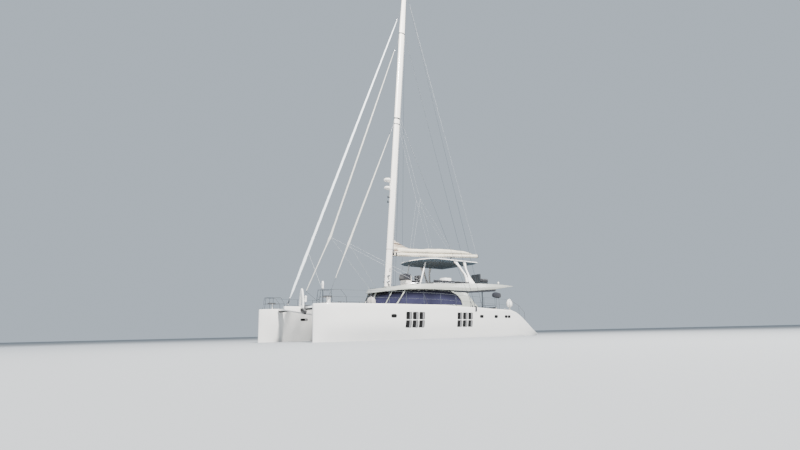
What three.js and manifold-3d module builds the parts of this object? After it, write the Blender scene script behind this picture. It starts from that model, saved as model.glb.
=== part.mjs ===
// Sailing catamaran at full size, in millimetres.
// +X forward, +Y to port, +Z up; the origin lies on the waterline, amidships, on the centreline.
import * as THREE from 'three';
import { mergeVertices } from 'three/addons/utils/BufferGeometryUtils.js';
import Module from 'manifold-3d';

const wasm = await Module();
wasm.setup();

// Driving dimensions
const SEAT = 0.3;                 // gap left between two pieces that touch
const HULL_CENTRE = 3660;         // each hull's centreline, out from the boat's
const HULL_INNER = 2400;          // flat inboard side of a hull
const DECK = 2300;                // deck height forward
const FLOOR = 1600;               // saloon and cockpit floor
const ROOF = 3560;                // underside of the saloon roof
const FLY_FLOOR = 3850;           // flybridge floor
const HARDTOP_LOW = 6000;
const HARDTOP_HIGH = 6200;
const PLAN_CENTRE = -500;         // where the saloon's straight sides turn into its curved front
const MAST_FOOT = 3880;
const MAST_TOP = 31800;
const MAST_CHORD = 580;
const MAST_WIDTH = 330;
const MAST_RAKE = 0.0945;         // aft run for each unit of height
const BEAM_X = 9350;              // crossbeam between the bows
const SPRIT_TIP = 10640;
const RAIL_HEIGHT = 820;

const FINISHES = {
  gelcoat: { color: 0xf2f1ec, roughness: 0.25, metalness: 0.0 },
  deck: { color: 0xd9dcd4, roughness: 0.5, metalness: 0.0 },
  bottom: { color: 0x2c3a4c, roughness: 0.7, metalness: 0.0 },
  glass: { color: 0x1b1f33, roughness: 0.08, metalness: 0.0 },
  spar: { color: 0xf4f3f0, roughness: 0.3, metalness: 0.0 },
  steel: { color: 0xb9bdc0, roughness: 0.25, metalness: 1.0 },
  bronze: { color: 0x9a7440, roughness: 0.4, metalness: 1.0 },
  sailcloth: { color: 0xdfe6ea, roughness: 0.8, metalness: 0.0 },
  cover: { color: 0xe3ddcf, roughness: 0.9, metalness: 0.0 },
  net: { color: 0xb9bcb8, roughness: 0.9, metalness: 0.0 },
  cushion: { color: 0x2e3238, roughness: 0.9, metalness: 0.0 },
  wood: { color: 0x9c7a55, roughness: 0.6, metalness: 0.0 },
  dark: { color: 0x2b3138, roughness: 0.5, metalness: 0.0 },
};

const catamaran = new THREE.Group();

// Joining and cutting
function toSolid(geometry) {
  const bare = geometry.clone();
  bare.deleteAttribute('normal');
  bare.deleteAttribute('uv');
  const merged = mergeVertices(bare, 0.001);
  return new wasm.Manifold(new wasm.Mesh({
    numProp: 3,
    vertProperties: new Float32Array(merged.attributes.position.array),
    triVerts: new Uint32Array(merged.index.array),
  }));
}

function toGeometry(solid) {
  const { numProp, vertProperties, triVerts } = solid.getMesh();
  const points = new Float32Array((vertProperties.length / numProp) * 3);
  for (let i = 0; i < points.length / 3; i += 1) {
    for (let k = 0; k < 3; k += 1) points[3 * i + k] = vertProperties[numProp * i + k];
  }
  const geometry = new THREE.BufferGeometry();
  geometry.setAttribute('position', new THREE.BufferAttribute(points, 3));
  geometry.setIndex(new THREE.BufferAttribute(new Uint32Array(triVerts), 1));
  return geometry;
}

function unite(...pieces) {
  return toGeometry(pieces.map(toSolid).reduce((whole, next) => whole.add(next)));
}

function cut(piece, ...tools) {
  return toGeometry(tools.map(toSolid).reduce((whole, tool) => whole.subtract(tool), toSolid(piece)));
}

function common(piece, other) {
  return toGeometry(toSolid(piece).intersect(toSolid(other)));
}

function moved(geometry, x, y, z) {
  return geometry.clone().translate(x, y, z);
}

// Mirrors a port piece to starboard, when side is -1
function handed(geometry, side) {
  if (side > 0) return geometry;
  const mirror = geometry.clone().scale(1, -1, 1);
  const order = mirror.index ? mirror.index.array : [...Array(mirror.attributes.position.count).keys()];
  const flipped = new Uint32Array(order.length);
  for (let i = 0; i < order.length; i += 3) {
    flipped[i] = order[i];
    flipped[i + 1] = order[i + 2];
    flipped[i + 2] = order[i + 1];
  }
  mirror.setIndex(new THREE.BufferAttribute(flipped, 1));
  return mirror;
}

function add(name, geometry, finish) {
  const shown = geometry.clone();
  shown.computeVertexNormals();
  const mesh = new THREE.Mesh(shown, new THREE.MeshStandardMaterial(FINISHES[finish]));
  mesh.name = name;
  catamaran.add(mesh);
}

// Basic shapes
function box([x0, x1], [y0, y1], [z0, z1]) {
  const block = new THREE.BoxGeometry(x1 - x0, y1 - y0, z1 - z0);
  return block.translate((x0 + x1) / 2, (y0 + y1) / 2, (z0 + z1) / 2);
}

// An outline drawn in plan (x, y), in side view (x, z) or in cross section (y, z), given a thickness
function prism(outline, view, low, high) {
  const shape = new THREE.Shape(outline.map(([a, b]) => new THREE.Vector2(a, b)));
  const slab = new THREE.ExtrudeGeometry(shape, { depth: high - low, bevelEnabled: false });
  const x = new THREE.Vector3(1, 0, 0);
  const y = new THREE.Vector3(0, 1, 0);
  const z = new THREE.Vector3(0, 0, 1);
  if (view === 'plan') return slab.translate(0, 0, low);
  if (view === 'side') {
    slab.applyMatrix4(new THREE.Matrix4().makeBasis(x, z, y.negate()));
    return slab.translate(0, high, 0);
  }
  slab.applyMatrix4(new THREE.Matrix4().makeBasis(y, z, x));
  return slab.translate(low, 0, 0);
}

// A round bar from one point to another; the second radius gives it a taper
function bar(from, to, radius, sides = 8, endRadius = radius) {
  const start = new THREE.Vector3(...from);
  const run = new THREE.Vector3(...to).sub(start);
  const rod = new THREE.CylinderGeometry(endRadius, radius, run.length(), sides);
  rod.translate(0, run.length() / 2, 0);
  const turn = new THREE.Quaternion().setFromUnitVectors(new THREE.Vector3(0, 1, 0), run.normalize());
  return rod.applyQuaternion(turn).translate(...from);
}

// A bent tube: straight bars whose ends run into each other
function bentTube(points, radius, sides = 6) {
  const bars = points.slice(1).map((point, i) => {
    const a = new THREE.Vector3(...points[i]);
    const b = new THREE.Vector3(...point);
    const lap = b.clone().sub(a).setLength(radius * 0.6);
    return bar(a.sub(lap).toArray(), b.add(lap).toArray(), radius, sides);
  });
  return bars.length > 1 ? unite(...bars) : bars[0];
}

// A skin over rings with the same number of points. The ends are closed by rungs from a ring's
// first point to its last, its second to the one before the last, and so on.
function loft(rings) {
  const count = rings[0].length;
  const points = rings.flat(2);
  const faces = [];
  for (let r = 0; r < rings.length - 1; r += 1) {
    for (let i = 0; i < count; i += 1) {
      const a = r * count + i;
      const b = r * count + ((i + 1) % count);
      faces.push(a, b, a + count, b, b + count, a + count);
    }
  }
  const last = (rings.length - 1) * count;
  for (let i = 0; i < Math.floor((count - 1) / 2); i += 1) {
    const j = count - 1 - i;
    for (const [start, forward] of [[0, false], [last, true]]) {
      const rung = [[i, i + 1, j], [i + 1, j - 1, j]].filter(([p, q, s]) => p !== q && q !== s && p !== s);
      for (const [p, q, s] of rung) {
        faces.push(start + p, start + (forward ? q : s), start + (forward ? s : q));
      }
    }
  }
  const geometry = new THREE.BufferGeometry();
  geometry.setAttribute('position', new THREE.BufferAttribute(new Float32Array(points), 3));
  geometry.setIndex(faces);
  return volume(geometry) < 0 ? turnedOut(geometry) : geometry;
}

function volume(geometry) {
  const at = geometry.attributes.position;
  const order = geometry.index.array;
  const [a, b, c] = [new THREE.Vector3(), new THREE.Vector3(), new THREE.Vector3()];
  let sum = 0;
  for (let i = 0; i < order.length; i += 3) {
    a.fromBufferAttribute(at, order[i]);
    b.fromBufferAttribute(at, order[i + 1]);
    c.fromBufferAttribute(at, order[i + 2]);
    sum += a.dot(b.cross(c)) / 6;
  }
  return sum;
}

function turnedOut(geometry) {
  const order = geometry.index.array;
  for (let i = 0; i < order.length; i += 3) [order[i + 1], order[i + 2]] = [order[i + 2], order[i + 1]];
  return geometry;
}

// A value read off a table of [position, value] rows, straight between the rows
function along(table, position) {
  const rows = [...table].sort((a, b) => a[0] - b[0]);
  if (position <= rows[0][0]) return rows[0][1];
  for (let i = 1; i < rows.length; i += 1) {
    const [x0, v0] = rows[i - 1];
    const [x1, v1] = rows[i];
    if (position <= x1) return v0 + ((v1 - v0) * (position - x0)) / (x1 - x0);
  }
  return rows[rows.length - 1][1];
}

const mastAxis = (z) => 1920 - MAST_RAKE * (z - 3850);

// Hulls. Columns: station x, deck height, outer deck edge, inner deck edge,
// half width at the waterline, depth of the bottom
const STATIONS = [
  [10650, 2280, 3720, 3600, 25, 350],
  [9800, 2300, 4200, 3120, 270, 520],
  [8550, 2300, 4500, 2800, 480, 640],
  [7000, 2300, 4740, HULL_INNER, 660, 720],
  [4900, 2300, 4900, HULL_INNER, 810, 770],
  [1200, 2300, 4950, HULL_INNER, 930, 800],
  [-900, 2220, 4950, HULL_INNER, 950, 800],
  [-2550, 2190, 4930, HULL_INNER, 950, 780],
  [-4450, 2120, 4890, HULL_INNER, 930, 720],
  [-6900, 2050, 4800, HULL_INNER, 880, 520],
  [-7550, 1900, 4770, HULL_INNER, 860, 430],
  [-8200, 1630, 4740, HULL_INNER, 840, 340],
  [-8970, 1180, 4690, HULL_INNER, 815, 240],
  [-9740, 670, 4640, 2480, 790, 150],
  [-10300, 330, 4600, 2560, 770, 90],
  [-10650, 120, 4580, 2620, 750, 50],
];
const KNUCKLE = [[10650, 1350], [9800, 1200], [8550, 1050], [7000, 950]];
const deckAt = (x) => along(STATIONS, x);

function hullRing([x, deck, outer, inner, half, depth]) {
  const mid = Math.min(1000, 0.5 * deck);
  const knuckle = Math.min(along(KNUCKLE, x), 0.55 * deck);
  const c = HULL_CENTRE;
  return [
    [x, outer, deck],
    [x, outer - 0.08 * (outer - c), mid],
    [x, c + half, 0],
    [x, c + 0.8 * half, -0.5 * depth],
    [x, c + 0.42 * half, -0.88 * depth],
    [x, c, -depth],
    [x, c - 0.42 * half, -0.88 * depth],
    [x, c - 0.8 * half, -0.5 * depth],
    [x, c - half, 0],
    [x, inner, knuckle],
    [x, inner, deck],
  ];
}

// Stern steps, cut down into each hull between its two bulwarks. Columns: where a tread starts, its height
const TREADS = [[-7350, 1620], [-7950, 1300], [-8500, 980], [-9000, 680], [-9450, 400], [-9900, 180]];

function sternSteps() {
  const outline = [[-7350, 3000]];
  TREADS.forEach(([x, z], i) => {
    outline.push([x, z], [i + 1 < TREADS.length ? TREADS[i + 1][0] : -11000, z]);
  });
  outline.push([-11000, 3000]);
  return prism(outline, 'side', HULL_INNER + 180, 4470);
}

const RUDDER_X = -8600;
const STOCK = 44.3;
const STOCK_BORE = 45;
const PIN_SIDES = 24;

const hullPort = cut(
  loft(STATIONS.map(hullRing)),
  sternSteps(),
  bar([RUDDER_X, HULL_CENTRE, -900], [RUDDER_X, HULL_CENTRE, 300], STOCK_BORE, PIN_SIDES),
);
const hulls = { 1: hullPort, [-1]: handed(hullPort, -1) };
const underBothHulls = [1, -1].map((side) => moved(hulls[side], 0, 0, -SEAT));
const overBothHulls = [1, -1].map((side) => moved(hulls[side], 0, 0, SEAT));
add('hull_port', hulls[1], 'gelcoat');
add('hull_starboard', hulls[-1], 'gelcoat');

// Keels: low foils under the middle of each hull
function foilRing(z, nose, chord, thickness, y) {
  const upper = [[0, 0.03], [0.03, 0.35], [0.15, 0.85], [0.35, 1], [0.65, 0.7], [1, 0.04]];
  const port = upper.map(([s, w]) => [nose - s * chord, y + (w * thickness) / 2, z]);
  const starboard = upper.map(([s, w]) => [nose - s * chord, y - (w * thickness) / 2, z]);
  return [...port, ...starboard.reverse()];
}

const keel = cut(
  loft([foilRing(-600, 1900, 3900, 330, HULL_CENTRE), foilRing(-1950, 1300, 2900, 260, HULL_CENTRE)]),
  underBothHulls[0],
);

// Rudders: a spade blade on a stock that turns in the hull
const rudder = unite(
  loft([
    foilRing(-470, RUDDER_X + 210, 820, 110, HULL_CENTRE),
    foilRing(-1700, RUDDER_X + 150, 560, 80, HULL_CENTRE),
  ]),
  bar([RUDDER_X, HULL_CENTRE, -700], [RUDDER_X, HULL_CENTRE, 250], STOCK, PIN_SIDES),
);
for (const [end, side] of [['port', 1], ['starboard', -1]]) {
  add(`keel_${end}`, handed(keel, side), 'bottom');
  add(`rudder_${end}`, handed(rudder, side), 'bottom');
}

// Propeller shafts: a tube out of each hull, carried near its end by a bracket
const SHAFT_SLOPE = 0.12;
const shaftAt = (x) => [x, HULL_CENTRE, -640 + SHAFT_SLOPE * (x + 5000)];
const SHAFT_END = -7480;
const SPIGOT = 33.3;
const SPIGOT_BORE = 34;
const bracket = cut(
  unite(
    bar(shaftAt(-4900), shaftAt(-7300), 32, 12),
    bar(shaftAt(-7230), shaftAt(SHAFT_END), 62, 16),
    box([-7460, -7250], [HULL_CENTRE - 16, HULL_CENTRE + 16], [-930, -300]),
  ),
  underBothHulls[0],
  bar(shaftAt(SHAFT_END + 140), shaftAt(SHAFT_END - 50), SPIGOT_BORE, PIN_SIDES),
);
function propeller() {
  const hub = bar(shaftAt(SHAFT_END - 6), shaftAt(SHAFT_END - 170), 62, 16, 48);
  const spigot = bar(shaftAt(SHAFT_END + 120), shaftAt(SHAFT_END - 40), SPIGOT, PIN_SIDES);
  const axis = new THREE.Vector3(-1, 0, -SHAFT_SLOPE).normalize();
  const centre = new THREE.Vector3(...shaftAt(SHAFT_END - 80));
  const blades = [0, 120, 240].map((degrees) => {
    const blade = new THREE.BoxGeometry(26, 190, 260).translate(0, 0, 170);
    blade.rotateZ(THREE.MathUtils.degToRad(38));
    blade.applyQuaternion(new THREE.Quaternion().setFromUnitVectors(new THREE.Vector3(-1, 0, 0), axis));
    blade.applyQuaternion(new THREE.Quaternion().setFromAxisAngle(axis, THREE.MathUtils.degToRad(degrees)));
    return blade.translate(...centre.toArray());
  });
  return unite(hub, spigot, ...blades);
}
const screw = propeller();
for (const [end, side] of [['port', 1], ['starboard', -1]]) {
  add(`shaft_bracket_${end}`, handed(bracket, side), 'bronze');
  add(`propeller_${end}`, handed(screw, side), 'bronze');
}

// Bridge deck between the hulls: foredeck, saloon floor and cockpit floor in one moulding
const FOREDECK_FRONT = 7100;
const BRIDGE_AFT = -8500;
const BRIDGE_SIDE = HULL_INNER - SEAT;
const bridgeDeck = prism([
  [FOREDECK_FRONT, DECK], [FOREDECK_FRONT, 1900], [6400, 1500], [5000, 1180], [3300, 1060],
  [-7600, 1060], [BRIDGE_AFT, 1350], [BRIDGE_AFT, FLOOR], [1900, FLOOR], [1900, DECK],
], 'side', -BRIDGE_SIDE, BRIDGE_SIDE);
add('bridge_deck', bridgeDeck, 'gelcoat');

// Bowsprit on the centreline: a spine that deepens aft and ends under the bridge deck's nose.
// The crossbeam lies across it in a notch. Columns: x, half width, underside
const SPRIT_TOP = 2310;
const SPRIT_ROWS = [[SPRIT_TIP, 90, 2030], [BEAM_X, 150, 1840], [7600, 150, 1620], [6600, 150, 1620]];
const BEAM = { low: 2060, high: 2280, half: 170, reach: 3400 };
const sprit = cut(
  loft(SPRIT_ROWS.map(([x, half, low]) => [
    [x, half, SPRIT_TOP], [x, half, low + 70], [x, half - 60, low],
    [x, 60 - half, low], [x, -half, low + 70], [x, -half, SPRIT_TOP],
  ])),
  moved(bridgeDeck, SEAT, 0, 0), moved(bridgeDeck, 0, 0, -SEAT),
  box([6000, FOREDECK_FRONT + SEAT], [-400, 400], [1899, SPRIT_TOP + 100]),
  box(
    [BEAM_X - BEAM.half - SEAT, BEAM_X + BEAM.half + SEAT], [-400, 400], [BEAM.low - SEAT, SPRIT_TOP + 100],
  ),
);
add('bowsprit', sprit, 'gelcoat');

const beamBlank = prism([
  [BEAM_X - BEAM.half, BEAM.low], [BEAM_X + 90, BEAM.low], [BEAM_X + BEAM.half, BEAM.low + 70],
  [BEAM_X + 150, BEAM.high], [BEAM_X - BEAM.half, BEAM.high],
], 'side', -BEAM.reach, BEAM.reach);
const crossbeam = cut(beamBlank, moved(hulls[1], 0, -SEAT, 0), moved(hulls[-1], 0, SEAT, 0));
add('crossbeam', crossbeam, 'gelcoat');

// Striker: a tall white loop that stands on the crossbeam
const STRIKER_TOP = 3520;
function arch(halfWidth, low, top) {
  const steps = 8;
  const port = [[halfWidth, low - 1]];
  for (let i = 0; i <= steps; i += 1) {
    const angle = (i * Math.PI) / 2 / steps;
    port.push([halfWidth * Math.cos(angle) ** 1.2, low + (top - low) * Math.sin(angle)]);
  }
  return [...port, ...port.slice(0, -1).reverse().map(([y, z]) => [-y, z])];
}
const striker = cut(
  prism(arch(250, BEAM.high + SEAT + 1, STRIKER_TOP), 'section', BEAM_X - 50, BEAM_X + 50),
  prism(arch(120, 2400, 3050), 'section', BEAM_X - 100, BEAM_X + 100),
);
add('striker', striker, 'gelcoat');

// Trampolines either side of the bowsprit
const trampoline = prism([
  [FOREDECK_FRONT + SEAT, 152], [BEAM_X - BEAM.half - SEAT, 152], [BEAM_X - BEAM.half - SEAT, 2960],
  [8550, 2790], [FOREDECK_FRONT + SEAT, HULL_INNER - 5],
], 'plan', 2240, 2262);
for (const [name, side] of [['trampoline_port', 1], ['trampoline_starboard', -1]]) {
  add(name, handed(trampoline, side), 'net');
}

// Saloon. Its plan is a half ellipse forward of PLAN_CENTRE with straight sides aft of it.
const SALOON_LOW = { z: 2050, reach: 4300, half: 3560 };
const SALOON_HIGH = { z: ROOF - SEAT, reach: 3500, half: 3320 };
const FRONT_STEPS = 18;

function planRing(reach, half, aft, height) {
  const side = [];
  for (let i = 0; i <= FRONT_STEPS / 2; i += 1) {
    const t = (i * Math.PI) / FRONT_STEPS;
    side.push([PLAN_CENTRE + reach * Math.sin(t), half * Math.cos(t)]);
  }
  const port = [[aft, half], ...side];
  const starboard = port.slice(0, -1).reverse().map(([x, y]) => [x, -y]);
  return [...port, ...starboard].map(([x, y]) => [x, y, typeof height === 'function' ? height(x) : height]);
}

function saloonAt(z, inset) {
  const s = (z - SALOON_LOW.z) / (SALOON_HIGH.z - SALOON_LOW.z);
  return {
    reach: SALOON_LOW.reach + s * (SALOON_HIGH.reach - SALOON_LOW.reach) - inset,
    half: SALOON_LOW.half + s * (SALOON_HIGH.half - SALOON_LOW.half) - inset,
  };
}

function saloonBand(low, high, inset, aft) {
  return loft([low, high].map((z) => {
    const { reach, half } = saloonAt(z, inset);
    return planRing(reach, half, aft, z);
  }));
}

// A window opening between two angles of the curved front, each given at the sill and at the head
function frontWindow(startLow, endLow, startHigh, endHigh) {
  const steps = 8;
  const edges = [[WINDOW_SILL, startLow, endLow], [WINDOW_HEAD, startHigh, endHigh]];
  return loft(edges.map(([z, start, end]) => {
    const { reach, half } = saloonAt(z, 0);
    const arc = (scale) => Array.from({ length: steps + 1 }, (_, i) => {
      const t = THREE.MathUtils.degToRad(start + ((end - start) * i) / steps);
      return [PLAN_CENTRE + scale * reach * Math.cos(t), scale * half * Math.sin(t), z];
    });
    return [...arc(1.12), ...arc(0.86).reverse()];
  }));
}

const WINDOW_SILL = 2430;
const WINDOW_HEAD = 3470;
const WALL = 60;
// Columns: start and end angle at the sill, start and end angle at the head
const FRONT_WINDOWS = [[1.2, 21.9, 1.2, 25.6], [23.3, 35.3, 27, 41.7], [37.3, 91, 43.7, 91]];
// The side window ends aft in a curve that leans forward to the roof
const SIDE_WINDOW_AFT = [[-2690, WINDOW_SILL], [-2640, 2770], [-2540, 2940], [-2390, 3100], [-2170, 3260],
  [-1800, 3390], [-1650, WINDOW_HEAD]];
const sideWindow = prism([
  [PLAN_CENTRE + 30, WINDOW_SILL], ...SIDE_WINDOW_AFT, [PLAN_CENTRE + 30, WINDOW_HEAD],
], 'side', 3000, 3900);
const windowCuts = [...FRONT_WINDOWS.map((row) => frontWindow(...row)), sideWindow];

const BULKHEAD_X = -3600;
const DOORWAY = { half: 620, head: 3450 };
const slantedAft = prism([
  [-3100, ROOF + 100], [-4750, 2000], [-7000, 2000], [-7000, ROOF + 100],
], 'side', -4000, 4000);
const bulkhead = prism([
  [-BRIDGE_SIDE, FLOOR + SEAT], [-DOORWAY.half, FLOOR + SEAT], [-DOORWAY.half, DOORWAY.head],
  [DOORWAY.half, DOORWAY.head], [DOORWAY.half, FLOOR + SEAT], [BRIDGE_SIDE, FLOOR + SEAT],
  [BRIDGE_SIDE, 2160], [3500, 2160], [3290, ROOF - SEAT],
  [-3290, ROOF - SEAT], [-3500, 2160], [-BRIDGE_SIDE, 2160],
], 'section', BULKHEAD_X, BULKHEAD_X + WALL);

// Flybridge: the saloon roof and the deck over the cockpit, with a well behind the mast.
// Its edge is a lip with a small ledge on top. Columns: x, height
const FLY_LOW = [[3300, 3440], [2600, 3530], [2000, ROOF], [-3700, ROOF], [-6700, 3810], [-9260, 4150]];
const FLY_LIP = [[3300, 3490], [2600, 3610], [2000, 3650], [600, 3680], [-600, 3740], [-2250, 3800],
  [-3700, 3810], [-6700, 4000], [-9260, 4180]];
const FLY_HIGH = [[3100, 3600], [2840, 3710], [2400, 3860], [2000, 3900], [1000, 3960], [-600, 4020],
  [-2250, 4100], [-4000, 4190], [-6200, 4250], [-7800, 4260], [-9260, 4210]];
const FLY_LEDGE = FLY_LIP.map(([x, z]) => [x, z + 6]);
const FLY_STATIONS = [-1600, -2700, -3700, -5200, -6700, -8000, -9260];
const FLY_AFT = -9260;
const WELL = { front: 1100, aft: -6200, half: 3060 };
// Stairwell on the starboard side, from the well's aft end down to the side deck
const STAIRWELL = { fore: -6180, aft: -7300, inner: -2400, outer: -3050 };

function flyRing(reach, half, table) {
  const front = planRing(reach, half, FLY_AFT, 0).filter(([x, y]) => y >= 0 && x > PLAN_CENTRE + 1);
  const straight = [...FLY_STATIONS].reverse().map((x) => [x, half]);
  const port = [...straight, [PLAN_CENTRE, half], ...front];
  const level = ([x, y]) => [x, y, along(table, x)];
  const starboard = port.slice(0, -1).reverse().map(([x, y]) => [x, -y]);
  return [...port, ...starboard].map(level);
}

const flyShell = loft([
  flyRing(3770, 3400, FLY_LOW), flyRing(3765, 3395, FLY_LIP), flyRing(3690, 3330, FLY_LEDGE),
  flyRing(3560, 3220, FLY_HIGH),
]);
const wellSide = [[WELL.front, 2450], [700, 2780], [-200, 3020], [-1200, WELL.half], [WELL.aft, WELL.half]];
const well = prism([
  ...wellSide, ...[...wellSide].reverse().map(([x, y]) => [x, -y]),
], 'plan', FLY_FLOOR, 5000);
const stairwell = box([STAIRWELL.aft, STAIRWELL.fore], [STAIRWELL.outer, STAIRWELL.inner], [3300, 5000]);
const flybridge = cut(flyShell, well, stairwell);
add('flybridge', flybridge, 'deck');

// Clears the narrow seams between the bridge deck and the hulls under the shell's edge
const deckSeams = [-1, 1].map((side) => (
  box([1200, FOREDECK_FRONT], [side * HULL_INNER - 10, side * HULL_INNER + 10], [2000, DECK + SEAT])
));

const saloonWalls = cut(
  saloonBand(SALOON_LOW.z, SALOON_HIGH.z, 0, -5500),
  saloonBand(SALOON_LOW.z - 1, SALOON_HIGH.z + 1, WALL, -6500),
  slantedAft,
);
const saloonShell = cut(
  unite(saloonWalls, bulkhead),
  ...windowCuts, ...windowCuts.map((piece) => handed(piece, -1)),
  ...overBothHulls, moved(bridgeDeck, 0, 0, SEAT), moved(flybridge, 0, 0, -SEAT), ...deckSeams,
);
add('saloon_shell', saloonShell, 'deck');

// Saloon windows: one tinted band against the inside of the shell
const GLASS = 14;
const wallInside = (inset) => saloonBand(SALOON_LOW.z - 1, SALOON_HIGH.z + 1, inset, -6500);
const glassBand = cut(
  common(wallInside(WALL + SEAT), box([-9000, 9000], [-4000, 4000], [WINDOW_SILL - 50, WINDOW_HEAD + 30])),
  wallInside(WALL + SEAT + GLASS),
  prism([
    [-2000, ROOF + 50], [-2300, 3300], [-2650, 3000], [-2800, 2300], [-7000, 2300], [-7000, ROOF + 50],
  ], 'side', -4000, 4000),
  moved(flybridge, 0, 0, -SEAT),
);
add('saloon_glass', glassBand, 'glass');

// Sliding glass door, which runs on two shoes along the aft face of the bulkhead
const DOOR_X = BULKHEAD_X - 6;
const DOOR_LAP = 50;
const DOOR_HALF = DOORWAY.half + DOOR_LAP;
add('saloon_door', unite(
  box([DOOR_X - 45, DOOR_X], [-DOOR_HALF, DOOR_HALF], [FLOOR + 8, DOORWAY.head + DOOR_LAP]),
  ...[-540, 540].map((y) => box([DOOR_X - 35, DOOR_X - 10], [y - 40, y + 40], [FLOOR + SEAT, FLOOR + 20])),
), 'glass');

// Saloon furniture that shows through the glass
add('saloon_settee', unite(
  box([-1900, 1200], [1450, 2200], [FLOOR + SEAT, 2050]),
  box([-1900, 1200], [2120, 2350], [FLOOR + SEAT, 2500]),
  box([500, 1200], [300, 1500], [FLOOR + SEAT, 2050]),
), 'cover');
add('saloon_table', unite(
  box([-1500, 250], [250, 1250], [2310, 2350]),
  box([-1000, -250], [600, 900], [FLOOR + SEAT, 2330]),
), 'wood');
add('galley_counter', box([-2800, 400], [-2380, -1750], [FLOOR + SEAT, 2520]), 'wood');

// Mast, standing on the roof with its foot cut to the roof's slope
function ellipseRing(z, chord, width, sides = 20) {
  return Array.from({ length: sides }, (_, i) => {
    const t = ((i + 0.5) * 2 * Math.PI) / sides;
    return [mastAxis(z) + (chord / 2) * Math.cos(t), (width / 2) * Math.sin(t), z];
  });
}
const mastTube = cut(
  loft([
    ellipseRing(MAST_FOOT - 150, MAST_CHORD, MAST_WIDTH), ellipseRing(27000, MAST_CHORD, MAST_WIDTH),
    ellipseRing(MAST_TOP, 0.62 * MAST_CHORD, 0.62 * MAST_WIDTH),
  ]),
  moved(flybridge, 0, 0, SEAT),
);
add('mast', mastTube, 'spar');

// Two radar domes on one bracket up the mast's front. Columns: height, radius, dome height
const RADARS = [[12570, 300, 230], [11900, 260, 200]];
function radarDomes() {
  const domes = RADARS.map(([z, radius, height]) => {
    const middle = mastAxis(z) + MAST_CHORD / 2 + radius + 60;
    const dome = new THREE.LatheGeometry([
      [0, -0.5], [0.86, -0.5], [1, -0.3], [1, 0.05], [0.8, 0.38], [0.4, 0.5], [0, 0.5],
    ].map(([r, h]) => new THREE.Vector2(r * radius, h * height)), 18);
    dome.rotateX(Math.PI / 2).translate(middle, 0, z);
    const under = z - height / 2;
    return unite(dome, box([middle - radius - 180, middle], [-70, 70], [under - 50, under + 20]));
  });
  const back = mastAxis(12200) + MAST_CHORD / 2;
  const plate = box([back - 100, back + 45], [-50, 50], [11700, 12500]);
  return cut(unite(...domes, plate), moved(mastTube, SEAT, 0, 0));
}
add('radar_domes', radarDomes(), 'spar');

// A turned piece on a line between two points. Its profile's columns: radius, distance along the line
function turned(profile, from, to, sides) {
  const lathe = new THREE.LatheGeometry(profile.map(([r, s]) => new THREE.Vector2(r, s)), sides);
  const run = new THREE.Vector3(...to).sub(new THREE.Vector3(...from)).normalize();
  const turn = new THREE.Quaternion().setFromUnitVectors(new THREE.Vector3(0, 1, 0), run);
  return lathe.applyQuaternion(turn).translate(...from);
}

// Furled headsails, each rolled on its own stay above a drum. A stay has one straight leg, or three where
// its clew pulls it aft. It ends on the mast at a height, some way ahead of the mast's axis.
// A leg's columns: where it starts (x, z) and its profile of radius and distance along it
const STAY = 17;
const STROP = 22;
const LEG_LAP = 12;
const FOOT = SPRIT_TOP - 60;
const DRUM = [[45, 0], [45, 160], [105, 190], [105, 340], [STAY, 370]];
const HEADSAILS = [
  { name: 'genoa_furled', high: 29400, ahead: 100, legs: [
    [10440, FOOT, [...DRUM, [STAY, 600], [88, 1500], [79, 13950], [44, 25800], [STAY, 27300]]],
  ] },
  { name: 'solent_furled', high: 26060, ahead: 300, legs: [
    [9100, FOOT, [[STROP, 0], [STROP, 390], [100, 400], [100, 760], [STROP, 790]]],
    [9020, 3350, [[STROP, 0], [50, 300], [50, 3600], [95, 4150], [80, 4400]]],
    [7100, 7350, [[80, 0], [62, 900], [56, 10000], [31, 16800], [STAY, 18280]]],
  ] },
  { name: 'staysail_furled', high: 17770, ahead: 270, legs: [
    [7550, FOOT, [...DRUM, [STAY, 2300], [48, 3000], [60, 4400], [92, 5200], [70, 5900], [63, 9500],
      [35, 14100], [STAY, 15600]]],
  ] },
];
for (const { name, high, ahead, legs } of HEADSAILS) {
  const head = [mastAxis(high) + ahead, 0, high];
  const ends = [...legs.slice(1).map(([x, z]) => [x, 0, z]), head];
  const rolls = legs.map(([x, z, profile], i) => {
    const length = new THREE.Vector3(x, 0, z).distanceTo(new THREE.Vector3(...ends[i])) + LEG_LAP;
    const [lastRadius] = profile[profile.length - 1];
    return turned([[0, 0], ...profile, [lastRadius, length], [0, length]], [x, 0, z], ends[i], 12);
  });
  add(name, cut(unite(...rolls), moved(mastTube, SEAT, 0, 0), moved(sprit, 0, 0, SEAT)), 'sailcloth');
}

// Shrouds. Columns: foot x, foot y, height on the mast
const SHROUDS = [
  ['lower', -2450, 4700, 18650],
  ['intermediate', -2700, 4720, 27080],
  ['cap', -3550, 4700, 31450],
];
for (const [name, x, y, high] of SHROUDS) {
  const foot = deckAt(x);
  const head = [mastAxis(high) - 60, 45, high];
  const chainplate = prism([
    [x - 90, foot - 60], [x + 90, foot - 60], [x + 60, foot + 220], [x - 30, foot + 220],
  ], 'side', y - 45, y + 27);
  const wire = cut(
    unite(bar([x + 10, y + 5, foot + 100], head, 13, 8), chainplate),
    mastTube, overBothHulls[0],
  );
  const loose = moved(wire, 0, SEAT, 0);
  add(`shroud_${name}_port`, loose, 'steel');
  add(`shroud_${name}_starboard`, handed(loose, -1), 'steel');
}

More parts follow.
